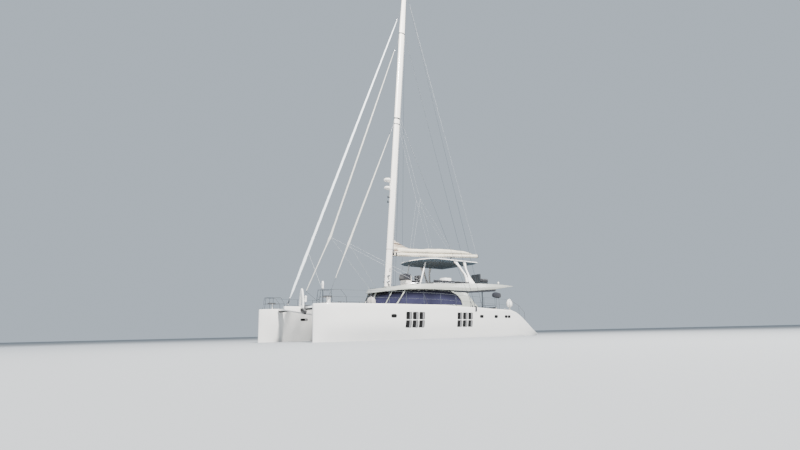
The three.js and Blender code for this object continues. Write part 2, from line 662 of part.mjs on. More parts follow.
// Boom on its gooseneck pin, with the mainsail stowed in a cover on top
const PIN = { z: 6560, radius: 32.8, bore: 33.5, offset: 110, low: 6330, high: 6790 };
const pinX = mastAxis(PIN.z) - MAST_CHORD / 2 - PIN.offset;
const pinAt = (z) => [pinX - MAST_RAKE * (z - PIN.z), 0, z];
const gooseneck = cut(
  unite(
    bar(pinAt(PIN.low), pinAt(PIN.high), PIN.radius, PIN_SIDES),
    box([pinX - 55, pinX + 260], [-60, 60], [PIN.low, PIN.low + 50]),
    box([pinX - 75, pinX + 240], [-60, 60], [PIN.high - 50, PIN.high]),
  ),
  moved(mastTube, -SEAT, 0, 0),
);
add('gooseneck', gooseneck, 'steel');

const BOOM = { start: 1000, end: -8750, lowStart: 6400, slope: 0.063, depth: 300, half: 150 };
const BOOM_ENDS = [[BOOM.start, 0.8], [BOOM.start - 600, 1], [BOOM.end + 500, 1], [BOOM.end, 0.7]];
const boomLow = (x) => BOOM.lowStart + BOOM.slope * (BOOM.start - x);
function boomRing([x, share]) {
  const half = BOOM.half * share;
  const port = [[0.6, 1], [1, 0.7], [1, 0.3], [0.5, 0]].map(([wide, up]) => (
    [x, wide * half, boomLow(x) + up * BOOM.depth]
  ));
  return [...port, ...[...port].reverse().map(([px, y, z]) => [px, -y, z])];
}
const boomSpar = cut(
  unite(
    loft(BOOM_ENDS.map(boomRing)),
    bar(pinAt(PIN.low + 60), pinAt(PIN.high - 60), 62, 16),
    box([BOOM.start - 100, pinX - 20], [-45, 45], [PIN.low + 110, PIN.high - 110]),
  ),
  bar(pinAt(PIN.low), pinAt(PIN.high), PIN.bore, PIN_SIDES),
);
add('boom', boomSpar, 'spar');

// Columns: x, half width, gap over the boom, height of the top
const STOW = [
  [980, 90, 40, 7700], [700, 150, 20, 7420], [200, 210, SEAT, 7160], [-800, 230, SEAT, 7130],
  [-3900, 235, SEAT, 7420], [-6400, 215, SEAT, 7480], [-7300, 180, SEAT, 7440], [-8300, 90, SEAT, 7230],
];
const stow = loft(STOW.map(([x, half, gap, high]) => {
  const low = boomLow(x) + BOOM.depth + gap;
  const level = (share) => low + share * (high - low);
  return [
    [x, 0.35 * half, high], [x, 0.9 * half, level(0.7)], [x, half, level(0.3)], [x, 0.8 * half, low],
    [x, -0.8 * half, low], [x, -half, level(0.3)], [x, -0.9 * half, level(0.7)], [x, -0.35 * half, high],
  ];
}));
add('mainsail_cover', stow, 'cover');

// Hardtop over the flybridge, on two forked legs aft and two plain legs forward
const HARDTOP = { centre: -1600, reach: 1060, half: 2150, aft: -6300 };
function hardtopRing(inset, z, sides = 10) {
  const port = [[HARDTOP.aft + inset, HARDTOP.half - inset]];
  for (let i = 0; i <= sides; i += 1) {
    const t = (i * Math.PI) / 2 / sides;
    port.push([HARDTOP.centre + (HARDTOP.reach - inset) * Math.sin(t), (HARDTOP.half - inset) * Math.cos(t)]);
  }
  return [...port, ...port.slice(0, -1).reverse().map(([x, y]) => [x, -y])].map(([x, y]) => [x, y, z]);
}
const hardtop = loft([hardtopRing(260, HARDTOP_LOW), hardtopRing(0, 6130), hardtopRing(60, HARDTOP_HIGH)]);
add('hardtop', hardtop, 'gelcoat');

const underHardtop = moved(hardtop, 0, 0, -SEAT);
const overFlybridge = moved(flybridge, 0, 0, SEAT);
// Each aft leg is a broad blade that forks into two branches, all in one plane that leans inward.
// Columns: aft edge, fore edge, height
const LEG_BLADE = [[-5450, -4330, 3850], [-5320, -4350, 4360], [-5010, -4370, 4780]];
const LEG_FRONT = [[-4700, -4370, 4740], [-4500, -4300, 5030], [-4150, -3950, 5530], [-3800, -3400, 6080]];
const LEG_BACK = [[-5000, -4760, 4740], [-4870, -4690, 5160], [-4760, -4590, 5540], [-4850, -4560, 6080]];
const LEG_HALF = 38;
const legPlane = (z) => 2500 - 0.26 * (z - 4300);
const legPart = (rows) => loft(rows.map(([aft, fore, z]) => [
  [fore, legPlane(z) + LEG_HALF, z], [aft, legPlane(z) + LEG_HALF, z],
  [aft, legPlane(z) - LEG_HALF, z], [fore, legPlane(z) - LEG_HALF, z],
]));
const aftLeg = cut(
  unite(...[LEG_BLADE, LEG_FRONT, LEG_BACK].map(legPart)),
  overFlybridge, underHardtop,
);
const FORE_LEG = { foot: [-560, 880, 3800], flare: [-590, 885, 3900], top: [-1300, 1000, 6080], radius: 55 };
const foreLeg = cut(
  unite(
    bar(FORE_LEG.foot, FORE_LEG.top, FORE_LEG.radius, 12),
    bar(FORE_LEG.foot, FORE_LEG.flare, 2 * FORE_LEG.radius, 12, FORE_LEG.radius),
  ),
  overFlybridge, underHardtop,
);
for (const [end, side] of [['port', 1], ['starboard', -1]]) {
  add(`hardtop_leg_aft_${end}`, handed(aftLeg, side), 'gelcoat');
  add(`hardtop_leg_fore_${end}`, handed(foreLeg, side), 'gelcoat');
}

// Flybridge helm: console, wheel and seat
const HELM = { x: 100, y: 400, half: 400, seatHalf: 340 };
const WHEEL = { z: 4550, radius: 360 };
const helmSide = [HELM.y - HELM.half, HELM.y + HELM.half];
add('helm_console', prism([
  [HELM.x + 500, FLY_FLOOR + SEAT], [HELM.x + 560, 4700], [HELM.x + 330, 4920], [HELM.x + 150, 4920],
  [HELM.x, 4760], [HELM.x, FLY_FLOOR + SEAT],
], 'side', ...helmSide), 'gelcoat');

function steeringWheel() {
  const rim = new THREE.TorusGeometry(WHEEL.radius, 18, 8, 28).rotateY(Math.PI / 2);
  const spokes = [0, 60, 120].map((degrees) => {
    const spoke = new THREE.BoxGeometry(14, 2 * WHEEL.radius, 30);
    return spoke.rotateX(THREE.MathUtils.degToRad(degrees));
  });
  const hub = bar([60, 0, 0], [-25, 0, 0], 45, 16);
  return unite(rim, ...spokes, hub);
}
add('helm_wheel', moved(steeringWheel(), HELM.x - 60 - SEAT, HELM.y, WHEEL.z), 'steel');
const seatSide = [HELM.y - HELM.seatHalf, HELM.y + HELM.seatHalf];
add('helm_seat', unite(
  box([HELM.x - 1000, HELM.x - 450], seatSide, [FLY_FLOOR + SEAT, 4500]),
  box([HELM.x - 1050, HELM.x - 900], seatSide, [FLY_FLOOR + SEAT, 4950]),
), 'cushion');

// Flybridge furniture: a sofa along the port side in two seats with a wet bar between them, a table
// and a sunpad
const SOFA_TOP = { seat: 4180, back: 4360 };
add('wet_bar', box([-2220, -1500], [2300, 2860], [FLY_FLOOR + SEAT, 4550]), 'gelcoat');
add('flybridge_sofa', unite(
  box([-4200, -200], [2880, 2980], [FLY_FLOOR + SEAT, SOFA_TOP.back]),
  box([-4200, -2300], [2350, 2890], [FLY_FLOOR + SEAT, SOFA_TOP.seat]),
  box([-1420, -200], [2350, 2890], [FLY_FLOOR + SEAT, SOFA_TOP.seat]),
), 'cushion');
add('flybridge_table', unite(
  box([-3900, -2600], [1350, 2100], [4380, 4420]),
  box([-3450, -3050], [1600, 1850], [FLY_FLOOR + SEAT, 4400]),
), 'wood');
add('flybridge_sunpad', box([-6000, -4300], [-2100, 1300], [FLY_FLOOR + SEAT, 4260]), 'cushion');

// Loungers on the aft deck, with their backs to the well. Columns of the table: name, y range
const LOUNGER_SIDE = [
  [-7320, 4180], [-6190, 4180], [-6190, 5200], [-6420, 5200], [-6420, 4800], [-7320, 4800],
];
const LOUNGERS = [['aft_lounger_port', 1350, 2350], ['aft_lounger_starboard', -2350, -1350]];
for (const [name, y0, y1] of LOUNGERS) {
  add(name, cut(prism(LOUNGER_SIDE, 'side', y0, y1), overFlybridge), 'cushion');
}

// Cockpit under the flybridge
const overCockpit = [...overBothHulls, moved(bridgeDeck, 0, 0, SEAT)];
const underFly = moved(flybridge, 0, 0, -SEAT);
const post = cut(bar([-5400, 3200, 1900], [-5400, 3200, 4000], 45, 12), ...overBothHulls, underFly);
for (const [name, side] of [['cockpit_post_port', 1], ['cockpit_post_starboard', -1]]) {
  add(name, handed(post, side), 'dark');
}
add('cockpit_sofa', unite(
  box([-8100, -7350], [-2300, 2300], [FLOOR + SEAT, 2050]),
  box([-8250, -8050], [-2300, 2300], [FLOOR + SEAT, 2450]),
), 'cushion');
add('cockpit_table', unite(
  box([-6900, -5700], [-1400, 1400], [2310, 2350]),
  box([-6500, -6100], [-700, 700], [FLOOR + SEAT, 2330]),
), 'wood');

// Stair from the starboard side deck up to the flybridge
const STAIR = { foot: -7280, low: 1850, treads: 7, depth: 210, plate: 35, rail: 30 };
const stairRun = STAIRWELL.fore - SEAT - STAIR.foot;
const stairRise = FLY_FLOOR - 2030;
const stairBottom = (x) => FLY_FLOOR - 300 - (stairRise / stairRun) * (STAIRWELL.fore - x);
const stringer = [
  [STAIR.foot, STAIR.low], [STAIR.foot, stairBottom(STAIR.foot) + 300],
  [STAIRWELL.fore - SEAT - 60, FLY_FLOOR], [STAIRWELL.fore - SEAT, FLY_FLOOR],
  [STAIRWELL.fore - SEAT, stairBottom(STAIRWELL.fore)], [STAIR.foot + 180, STAIR.low],
];
const stairSides = [STAIRWELL.outer + 20, STAIRWELL.inner - 20];
const treads = Array.from({ length: STAIR.treads - 1 }, (_, i) => {
  const share = (i + 1) / STAIR.treads;
  const z = FLY_FLOOR - stairRise * (1 - share);
  const x = STAIR.foot + stairRun * share;
  return box([x - STAIR.depth, x + 40], stairSides, [z - STAIR.plate, z]);
});
add('flybridge_stair', cut(
  unite(
    prism(stringer, 'side', stairSides[0], stairSides[0] + STAIR.rail),
    prism(stringer, 'side', stairSides[1] - STAIR.rail, stairSides[1]),
    ...treads,
  ),
  overBothHulls[1],
), 'gelcoat');

// Pulpits: a rail round each bow on raked legs. Columns: x, y
const PULPIT_TOP = [[9080, 4300], [9640, 4110], [10200, 3800], [10230, 3520], [9750, 3340], [9200, 3260]];
const PULPIT_OUTER_MID = [[8720, 4340], [9640, 4130], [10270, 3815]];
const PULPIT_INNER_MID = [[8970, 3170], [9750, 3340], [10290, 3510]];
const PULPIT_POSTS = [[9640, 4120], [9750, 3340]];
const RAIL = { tube: 17, midTube: 14, topWire: 8, lowWire: 6, post: 14 };
const LOW_WIRE = 390;
const raised = (lift) => ([x, y]) => [x, y, deckAt(x) + lift];
const upright = ([x, y]) => bar([x, y, deckAt(x) - 40], [x, y, deckAt(x) + RAIL_HEIGHT], RAIL.post, 6);
const raisedPath = (rows) => rows.map(([x, y, lift]) => [x, y, deckAt(x) + lift]);
const pulpit = cut(
  unite(
    bentTube(PULPIT_TOP.map(raised(RAIL_HEIGHT)), RAIL.tube),
    bentTube(PULPIT_OUTER_MID.map(raised(LOW_WIRE)), RAIL.midTube),
    bentTube(PULPIT_INNER_MID.map(raised(LOW_WIRE)), RAIL.midTube),
    bentTube(raisedPath([[9080, 4300, RAIL_HEIGHT], [8720, 4340, LOW_WIRE], [8680, 4360, -40]]), RAIL.tube),
    bentTube(raisedPath([[9200, 3260, RAIL_HEIGHT], [8970, 3170, LOW_WIRE], [8930, 3130, -40]]), RAIL.tube),
    bentTube(raisedPath([[10200, 3800, RAIL_HEIGHT], [10340, 3830, -40]]), RAIL.tube),
    bentTube(raisedPath([[10230, 3520, RAIL_HEIGHT], [10340, 3500, -40]]), RAIL.tube),
    ...PULPIT_POSTS.map(upright),
  ),
  overBothHulls[0],
);

// Lifelines: two wires on stanchions from the pulpit to the quarter, then a rail to the stern.
// Columns: x, y
const STANCHIONS = [[7050, 4660], [5650, 4780], [4250, 4850], [2650, 4870], [1050, 4880], [-500, 4880],
  [-2050, 4860], [-3650, 4830], [-5200, 4790]];
const STERN_POSTS = [[-6900, 4720], [-8200, 4640]];
const WIRE_ENDS = { top: [9066, 4302], low: [8712, 4341] };
const wirePath = [...STANCHIONS, STERN_POSTS[0]];
const lifelines = cut(
  unite(
    ...[...STANCHIONS, ...STERN_POSTS].map(upright),
    bentTube([WIRE_ENDS.top, ...wirePath].map(raised(RAIL_HEIGHT - 10)), RAIL.topWire),
    bentTube([WIRE_ENDS.low, ...wirePath].map(raised(LOW_WIRE)), RAIL.lowWire),
    bentTube([...STERN_POSTS.map(raised(RAIL_HEIGHT)), [-9000, 4580, 1900], [-9000, 4580, 1050]], RAIL.tube),
  ),
  overBothHulls[0], moved(pulpit, -SEAT, 0, 0),
);
for (const [end, side] of [['port', 1], ['starboard', -1]]) {
  add(`pulpit_${end}`, handed(pulpit, side), 'steel');
  add(`lifelines_${end}`, handed(lifelines, side), 'steel');
}

export default catamaran;
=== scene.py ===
# %% [markdown]
# # A sailing catamaran, dressed in Blender
#
# The boat's solids come packed as a fixed frame: hulls, bridge deck, saloon, flybridge, mast, boom, stays
# and rails, all at their true size. This lesson gives them their surfaces and adds what is finer than
# a solid: windows, cushions, nets, ropes and deck gear.
#
# Everything is in metres. +X points to the bows, +Y to port and +Z up, and z = 0 is the waterline.

# %% Load the frame
import math

import bmesh
import bpy
from mathutils import Matrix, Vector, noise


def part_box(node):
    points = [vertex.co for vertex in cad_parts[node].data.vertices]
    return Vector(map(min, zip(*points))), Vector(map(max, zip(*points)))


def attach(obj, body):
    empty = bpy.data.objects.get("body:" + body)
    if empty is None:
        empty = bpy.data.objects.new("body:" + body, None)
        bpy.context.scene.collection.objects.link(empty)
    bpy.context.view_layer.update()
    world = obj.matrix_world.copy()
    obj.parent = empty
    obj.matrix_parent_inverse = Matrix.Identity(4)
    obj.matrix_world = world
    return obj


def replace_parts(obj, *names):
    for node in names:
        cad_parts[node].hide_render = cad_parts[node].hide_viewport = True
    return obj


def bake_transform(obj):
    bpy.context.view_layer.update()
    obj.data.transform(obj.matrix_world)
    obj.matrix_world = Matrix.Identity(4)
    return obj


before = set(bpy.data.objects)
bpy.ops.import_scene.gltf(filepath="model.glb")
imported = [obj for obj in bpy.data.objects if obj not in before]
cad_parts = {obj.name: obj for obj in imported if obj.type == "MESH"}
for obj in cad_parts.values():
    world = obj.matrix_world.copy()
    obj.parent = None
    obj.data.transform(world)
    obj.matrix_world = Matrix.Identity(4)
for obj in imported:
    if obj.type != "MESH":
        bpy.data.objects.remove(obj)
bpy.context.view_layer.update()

# %% [markdown]
# ## The camera
#
# The picture was taken close to the water off the port bow, so the lens is almost at water level and
# looks up a little. Its place was worked out from the symmetric hulls and the stays. A camera in Blender
# looks along its own -Z with +Y up, so its turn is a matrix whose columns are right, up and backwards.

# %% Camera
def looking_camera(place, yaw, pitch, roll, lens):
    yaw, pitch, roll = (math.radians(a) for a in (yaw, pitch, roll))
    ahead = Vector((math.sin(yaw) * math.cos(pitch), -math.cos(yaw) * math.cos(pitch), math.sin(pitch)))
    level = ahead.cross(Vector((0, 0, 1))).normalized()
    upright = level.cross(ahead)
    right = math.cos(roll) * level + math.sin(roll) * upright
    up = math.cos(roll) * upright - math.sin(roll) * level
    camera = bpy.data.objects.new("camera", bpy.data.cameras.new("camera"))
    bpy.context.scene.collection.objects.link(camera)
    camera.matrix_world = Matrix.Translation(place) @ Matrix((right, up, -ahead)).transposed().to_4x4()
    camera.data.lens = lens
    camera.data.sensor_width = 36
    camera.data.clip_end = 1500
    bpy.context.scene.camera = camera
    return camera


camera = looking_camera((26.485, 30.247, 0.42), yaw=-40.67, pitch=12.12, roll=-1.29, lens=22.68)
print("camera", tuple(round(v, 2) for v in camera.location), "lens", camera.data.lens)

# %% [markdown]
# ## Finishes
#
# A finish is more than a colour: gelcoat has a faint ripple under its gloss, canvas has a weave, teak has
# grain and black seams. Each one below starts from the same shader and adds its own texture. All
# textures read Object coordinates, so their scale is in metres and stays the same on every piece.

# %% A shader with its texture tools
class Finish:
    """A material on a Principled shader, with short ways to add grain, weave and bump."""

    def __init__(self, name, colour, roughness, metallic=0.0, coat=0.0, sheen=0.0):
        self.material = bpy.data.materials.new(name)
        self.material.use_nodes = True
        self.material.diffuse_color = (*colour, 1)
        self.nodes = self.material.node_tree.nodes
        self.links = self.material.node_tree.links
        self.shader = self.nodes["Principled BSDF"]
        self.shader.inputs["Base Color"].default_value = (*colour, 1)
        self.shader.inputs["Roughness"].default_value = roughness
        self.shader.inputs["Metallic"].default_value = metallic
        self.shader.inputs["Coat Weight"].default_value = coat
        self.shader.inputs["Coat Roughness"].default_value = 0.08
        self.shader.inputs["Sheen Weight"].default_value = sheen
        self.colour = colour
        self.place = self.nodes.new("ShaderNodeTexCoord").outputs["Object"]
        self.height = None

    def stretched(self, scale):
        mapping = self.nodes.new("ShaderNodeMapping")
        mapping.inputs["Scale"].default_value = scale
        self.links.new(self.place, mapping.inputs["Vector"])
        return mapping.outputs["Vector"]

    def noise(self, scale, detail=3.0, stretch=(1, 1, 1)):
        node = self.nodes.new("ShaderNodeTexNoise")
        node.inputs["Scale"].default_value = scale
        node.inputs["Detail"].default_value = detail
        self.links.new(self.stretched(stretch), node.inputs["Vector"])
        return node.outputs["Fac"]

    def bands(self, scale, direction):
        node = self.nodes.new("ShaderNodeTexWave")
        node.bands_direction = direction
        node.inputs["Scale"].default_value = scale
        self.links.new(self.place, node.inputs["Vector"])
        return node.outputs["Fac"]

    def cells(self, scale):
        node = self.nodes.new("ShaderNodeTexVoronoi")
        node.inputs["Scale"].default_value = scale
        self.links.new(self.place, node.inputs["Vector"])
        return node.outputs["Distance"]

    def attribute(self, name):
        """A number stored on the mesh's points."""
        node = self.nodes.new("ShaderNodeAttribute")
        node.attribute_name = name
        return node.outputs["Fac"]

    def ramp(self, value, low, high, start=0.0, end=1.0):
        node = self.nodes.new("ShaderNodeMapRange")
        for socket, number in zip(("From Min", "From Max", "To Min", "To Max"), (start, end, low, high)):
            node.inputs[socket].default_value = number
        self.links.new(value, node.inputs["Value"])
        return node.outputs["Result"]

    def product(self, a, b, kind="MULTIPLY"):
        node = self.nodes.new("ShaderNodeMath")
        node.operation = kind
        self.links.new(a, node.inputs[0])
        self.links.new(b, node.inputs[1])
        return node.outputs["Value"]

    def tint(self, value, dark, light):
        """Colours the surface between two shades of its own colour, as value goes from 0 to 1."""
        node = self.nodes.new("ShaderNodeMix")
        node.data_type = "RGBA"
        node.inputs["A"].default_value = (*[dark * c for c in self.colour], 1)
        node.inputs["B"].default_value = (*[min(1, light * c) for c in self.colour], 1)
        self.links.new(value, node.inputs["Factor"])
        self.links.new(node.outputs["Result"], self.shader.inputs["Base Color"])
        return self

    def gloss(self, value, low, high):
        self.links.new(self.ramp(value, low, high), self.shader.inputs["Roughness"])
        return self

    def bump(self, value, depth, strength=1.0):
        """Depth is in metres between the lowest and the highest point of the pattern."""
        node = self.nodes.new("ShaderNodeBump")
        node.inputs["Distance"].default_value = depth
        node.inputs["Strength"].default_value = strength
        self.links.new(value, node.inputs["Height"])
        if self.height:
            self.links.new(self.height, node.inputs["Normal"])
        self.height = node.outputs["Normal"]
        self.links.new(self.height, self.shader.inputs["Normal"])
        return self


print("a finish can add:", ", ".join(n for n in vars(Finish) if not n.startswith("_")))

# %% [markdown]
# ### Moulded, painted and glazed surfaces
#
# Gelcoat is a thin glossy skin over glass fibre. Large panels show a very slight waviness in reflections,
# and salt and dust dull them in soft patches. The superstructure is a shade greyer than the hulls. Decks
# have a moulded grip pattern, which is a field of small cells here. The windows are very dark tinted
# acrylic: almost black, with a cold blue cast, and so glossy that they mostly show the sky.

# %% Gelcoat, grip, paint and glass
def gelcoat(name, colour, roughness):
    skin = Finish(name, colour, roughness, coat=0.35)
    patches = skin.noise(0.7, 4.0)
    skin.tint(patches, 0.955, 1.02).gloss(skin.noise(2.3, 5.0), roughness - 0.05, roughness + 0.12)
    return skin.bump(skin.noise(1.1, 1.0), 0.0025, 0.25).bump(skin.noise(60, 2.0), 0.0002, 0.15).material


hull_white = gelcoat("hull_gelcoat", (0.885, 0.875, 0.85), 0.2)
cabin_cream = gelcoat("cabin_gelcoat", (0.375, 0.39, 0.36), 0.3)
console_grey = gelcoat("console_gelcoat", (0.008, 0.010, 0.018), 0.45)

grip = Finish("deck_grip", (0.60, 0.61, 0.575), 0.62)
grip.tint(grip.noise(1.3, 5.0), 0.92, 1.06)
grip.bump(grip.ramp(grip.cells(46), 0, 1, 0.1, 0.55), 0.0012, 0.5)

spar_paint = Finish("spar_paint", (0.86, 0.835, 0.79), 0.28, coat=0.3)
spar_paint.tint(spar_paint.noise(2.0, 4.0, (3, 3, 0.35)), 0.93, 1.03)
spar_paint.bump(spar_paint.noise(30, 2.0), 0.0003, 0.2)
boom_paint = Finish("boom_paint", (0.74, 0.69, 0.575), 0.34, coat=0.2)
boom_paint.tint(boom_paint.noise(1.6, 4.0, (0.4, 3, 3)), 0.9, 1.04)
boom_paint.bump(boom_paint.noise(30, 2.0), 0.0003, 0.2)

antifouling = Finish("antifouling", (0.028, 0.05, 0.10), 0.75)
antifouling.tint(antifouling.noise(3.0, 6.0, (0.4, 1, 1)), 0.75, 1.5)
antifouling.bump(antifouling.noise(90, 3.0), 0.0008, 0.4)


def dark_glazing(name, colour, clear, mirror=0.5):
    pane = Finish(name, colour, 0.04, coat=0.6 * mirror)
    pane.shader.inputs["Specular IOR Level"].default_value = mirror
    pane.shader.inputs["IOR"].default_value = 1.38
    pane.shader.inputs["Coat IOR"].default_value = 1.3
    pane.shader.inputs["Transmission Weight"].default_value = clear
    pane.tint(pane.noise(0.5, 3.0), 0.7, 1.5).gloss(pane.noise(4.0, 4.0), 0.02, 0.09)
    return pane.bump(pane.noise(1.6, 1.0), 0.002, 0.25)


saloon = dark_glazing("saloon_glazing", (0.022, 0.022, 0.045), 0.1, 0.22)
# The glass darkens towards its top as painted shade under the roof's overhang, and soft patches lighten it as
# painted reflections of the sky.
height = saloon.nodes.new("ShaderNodeSeparateXYZ")
saloon.links.new(saloon.place, height.inputs[0])
painted_roof_shade = saloon.ramp(height.outputs["Z"], 1, 0.1, 2.85, 3.3)
painted_sky_reflection = saloon.ramp(saloon.noise(0.9, 3.0), 0.3, 1.4)
saloon.tint(saloon.product(painted_roof_shade, painted_sky_reflection), 0.08, 1.6)
saloon_tint = saloon.material
hull_tint = dark_glazing("hull_glazing", (0.007, 0.009, 0.02), 0.0).material

# A cabin window has its curtain drawn to one side. The attribute "across" is 0 at the pane's aft edge
# and 1 at its fore edge.
curtained = Finish("curtained_glazing", (0.31, 0.31, 0.32), 0.05, coat=0.15)
curtained.shader.inputs["Specular IOR Level"].default_value = 0.2
curtained.shader.inputs["IOR"].default_value = 1.38
across = curtained.attribute("across")
drawn = curtained.product(curtained.ramp(across, 1, 0, 0.30, 0.42), curtained.ramp(across, 0, 1, 0.04, 0.07))
# Sine stripes across the drawn curtain are painted shade between its pleats.
pleat_shade = curtained.nodes.new("ShaderNodeMath")
pleat_shade.operation = "SINE"
curtained.links.new(curtained.ramp(across, 0, 78), pleat_shade.inputs[0])
curtained.tint(curtained.product(drawn, curtained.ramp(pleat_shade.outputs[0], 0.45, 1, -1, 1)), 0.02, 1.0)
curtained_tint = curtained.material

black_rubber = Finish("black_rubber", (0.018, 0.019, 0.021), 0.7)
black_rubber.tint(black_rubber.noise(8.0, 4.0), 0.8, 1.5).bump(black_rubber.noise(240, 2.0), 0.0002, 0.3)
powder_coat = Finish("powder_coat", (0.025, 0.03, 0.036), 0.42)
powder_coat.tint(powder_coat.noise(5.0, 4.0), 0.85, 1.3).bump(powder_coat.noise(500, 2.0), 0.0002, 0.3)
print("materials so far:", len(bpy.data.materials))

# %% [markdown]
# ### Metal, wood and cloth
#
# Metal is dull or bright by its roughness more than its colour. Teak on a boat is laid in narrow planks
# with black seams. Woven cloth is two sets of waves that cross: one bump for the weft, one for the warp.
# Sails are smooth and stiff, and only show long soft creases.

# %% Steel, bronze, teak, canvas, sailcloth, cushion cover and rope
steel = Finish("polished_stainless", (0.30, 0.31, 0.33), 0.24, metallic=1.0)
steel.tint(steel.noise(9.0, 4.0), 0.8, 1.1).gloss(steel.noise(40, 4.0), 0.12, 0.34)
bronze = Finish("dull_bronze", (0.33, 0.21, 0.09), 0.45, metallic=1.0)
bronze.tint(bronze.noise(14, 5.0), 0.55, 1.2).gloss(bronze.noise(30, 3.0), 0.3, 0.6)
bronze.bump(bronze.noise(70, 3.0), 0.0005, 0.3)

teak = Finish("laid_teak", (0.36, 0.235, 0.135), 0.6)
grain = teak.noise(7.0, 6.0, (0.3, 6, 6))
seams = teak.ramp(teak.bands(3.3, "Y"), 0, 1, 0.0, 0.06)
teak.tint(teak.product(grain, seams), 0.25, 1.7).bump(seams, 0.0015, 0.6)


def woven(name, colour, thread, roughness=0.9, soil=0.9, sheen=0.15):
    """Cloth whose threads lie thread metres apart."""
    cloth = Finish(name, colour, roughness, sheen=sheen)
    turns = 1 / (thread * 2)
    weave = cloth.product(cloth.bands(turns, "X"), cloth.bands(turns, "Z"))
    ribs = cloth.product(weave, cloth.bands(turns, "Y"), "MAXIMUM")
    cloth.tint(cloth.noise(2.2, 6.0), soil, 1.08)
    return cloth.bump(ribs, thread * 0.4, 0.35).bump(cloth.noise(9, 3.0), 0.004, 0.25).material


boom_canvas = woven("boom_canvas", (0.74, 0.685, 0.56), 0.004, soil=0.88)
sail_tan = woven("stowed_sail", (0.70, 0.62, 0.52), 0.003, soil=0.7)
# Painted shadow: this dark brown stands for the shade between the mainsail's folds.
fold_shadow_brown = woven("stowed_sail_painted_shadow", (0.19, 0.135, 0.10), 0.003, soil=0.7)
bag_grey = woven("bag_grey", (0.43, 0.405, 0.39), 0.003, soil=0.75)
sail_white = woven("sail_white", (0.76, 0.815, 0.86), 0.003, roughness=0.6, soil=0.93)
sail_grey = woven("sail_grey", (0.52, 0.52, 0.49), 0.003, roughness=0.7, soil=0.86)
cushion_dark = woven("cushion_charcoal", (0.014, 0.016, 0.022), 0.003, soil=0.8, sheen=0.1)
cushion_pale = woven("cushion_sand", (0.55, 0.52, 0.455), 0.003, soil=0.88, sheen=0.3)
canvas_navy = woven("canvas_navy", (0.006, 0.008, 0.016), 0.004, soil=0.8)
net_white = woven("net_webbing", (0.58, 0.58, 0.56), 0.003, soil=0.85)
rope_grey = woven("rope_grey", (0.50, 0.52, 0.54), 0.002, soil=0.8)
print("materials:", len(bpy.data.materials))

# %% [markdown]
# ## The studio
#
# The floor stands at the waterline, pale and plain, and hides what would be under water. Three round
# lamps light the boat: a large, soft one high on the port side, and weaker ones off the bow and the
# stern. A pale grey sky lights the rest.

# %% Floor, sky and lights
def plain_floor(size, height):
    mesh = bpy.data.meshes.new("studio_floor")
    corners = [(-size, -size, height), (size, -size, height), (size, size, height), (-size, size, height)]
    mesh.from_pydata(corners, [], [(0, 1, 2, 3)])
    floor = bpy.data.objects.new("studio_floor", mesh)
    bpy.context.scene.collection.objects.link(floor)
    paint = Finish("studio_floor", (0.33, 0.35, 0.37), 0.85)
    paint.tint(paint.noise(0.05, 2.0), 0.98, 1.02)
    mesh.materials.append(paint.material)


def soft_light(name, place, aim, size, watts, colour):
    lamp = bpy.data.lights.new(name, "AREA")
    lamp.shape = "DISK"
    lamp.size = size
    lamp.energy = watts
    lamp.color = colour
    holder = bpy.data.objects.new(name, lamp)
    holder.location = place
    holder.rotation_euler = (Vector(aim) - Vector(place)).to_track_quat("-Z", "Y").to_euler()
    bpy.context.scene.collection.objects.link(holder)


def plain_sky(colour, strength):
    world = bpy.data.worlds.new("studio_sky")
    world.use_nodes = True
    back = world.node_tree.nodes["Background"]
    back.inputs["Color"].default_value = (*colour, 1)
    back.inputs["Strength"].default_value = strength
    bpy.context.scene.world = world


plain_floor(600, 0.0)
plain_sky((0.56, 0.65, 0.74), 0.9)
soft_light("sun_side", (13.4, 34.4, 48.4), (0, 0, 4), 5, 124000, (1.0, 0.96, 0.91))
soft_light("bow_fill", (30, -22, 16), (2, 0, 5), 16, 4500, (0.88, 0.93, 1.0))
soft_light("stern_rim", (-34, 20, 24), (-3, 0, 6), 12, 5000, (0.95, 0.97, 1.0))

# %% [markdown]
# ## Shapes
#
# Most pieces here are poured into one bmesh: tubes, turned shapes, lofts and flat plates. A finished
# piece has its place in its mesh, with the object at the origin. Edges sharper than an angle stay
# crisp and the rest is shaded smooth, which is what makes a moulded surface look moulded.

# %% The form: a mesh under construction
def circle(sides):
    """The angles of points evenly spaced round a circle."""
    return [2 * math.pi * k / sides for k in range(sides)]


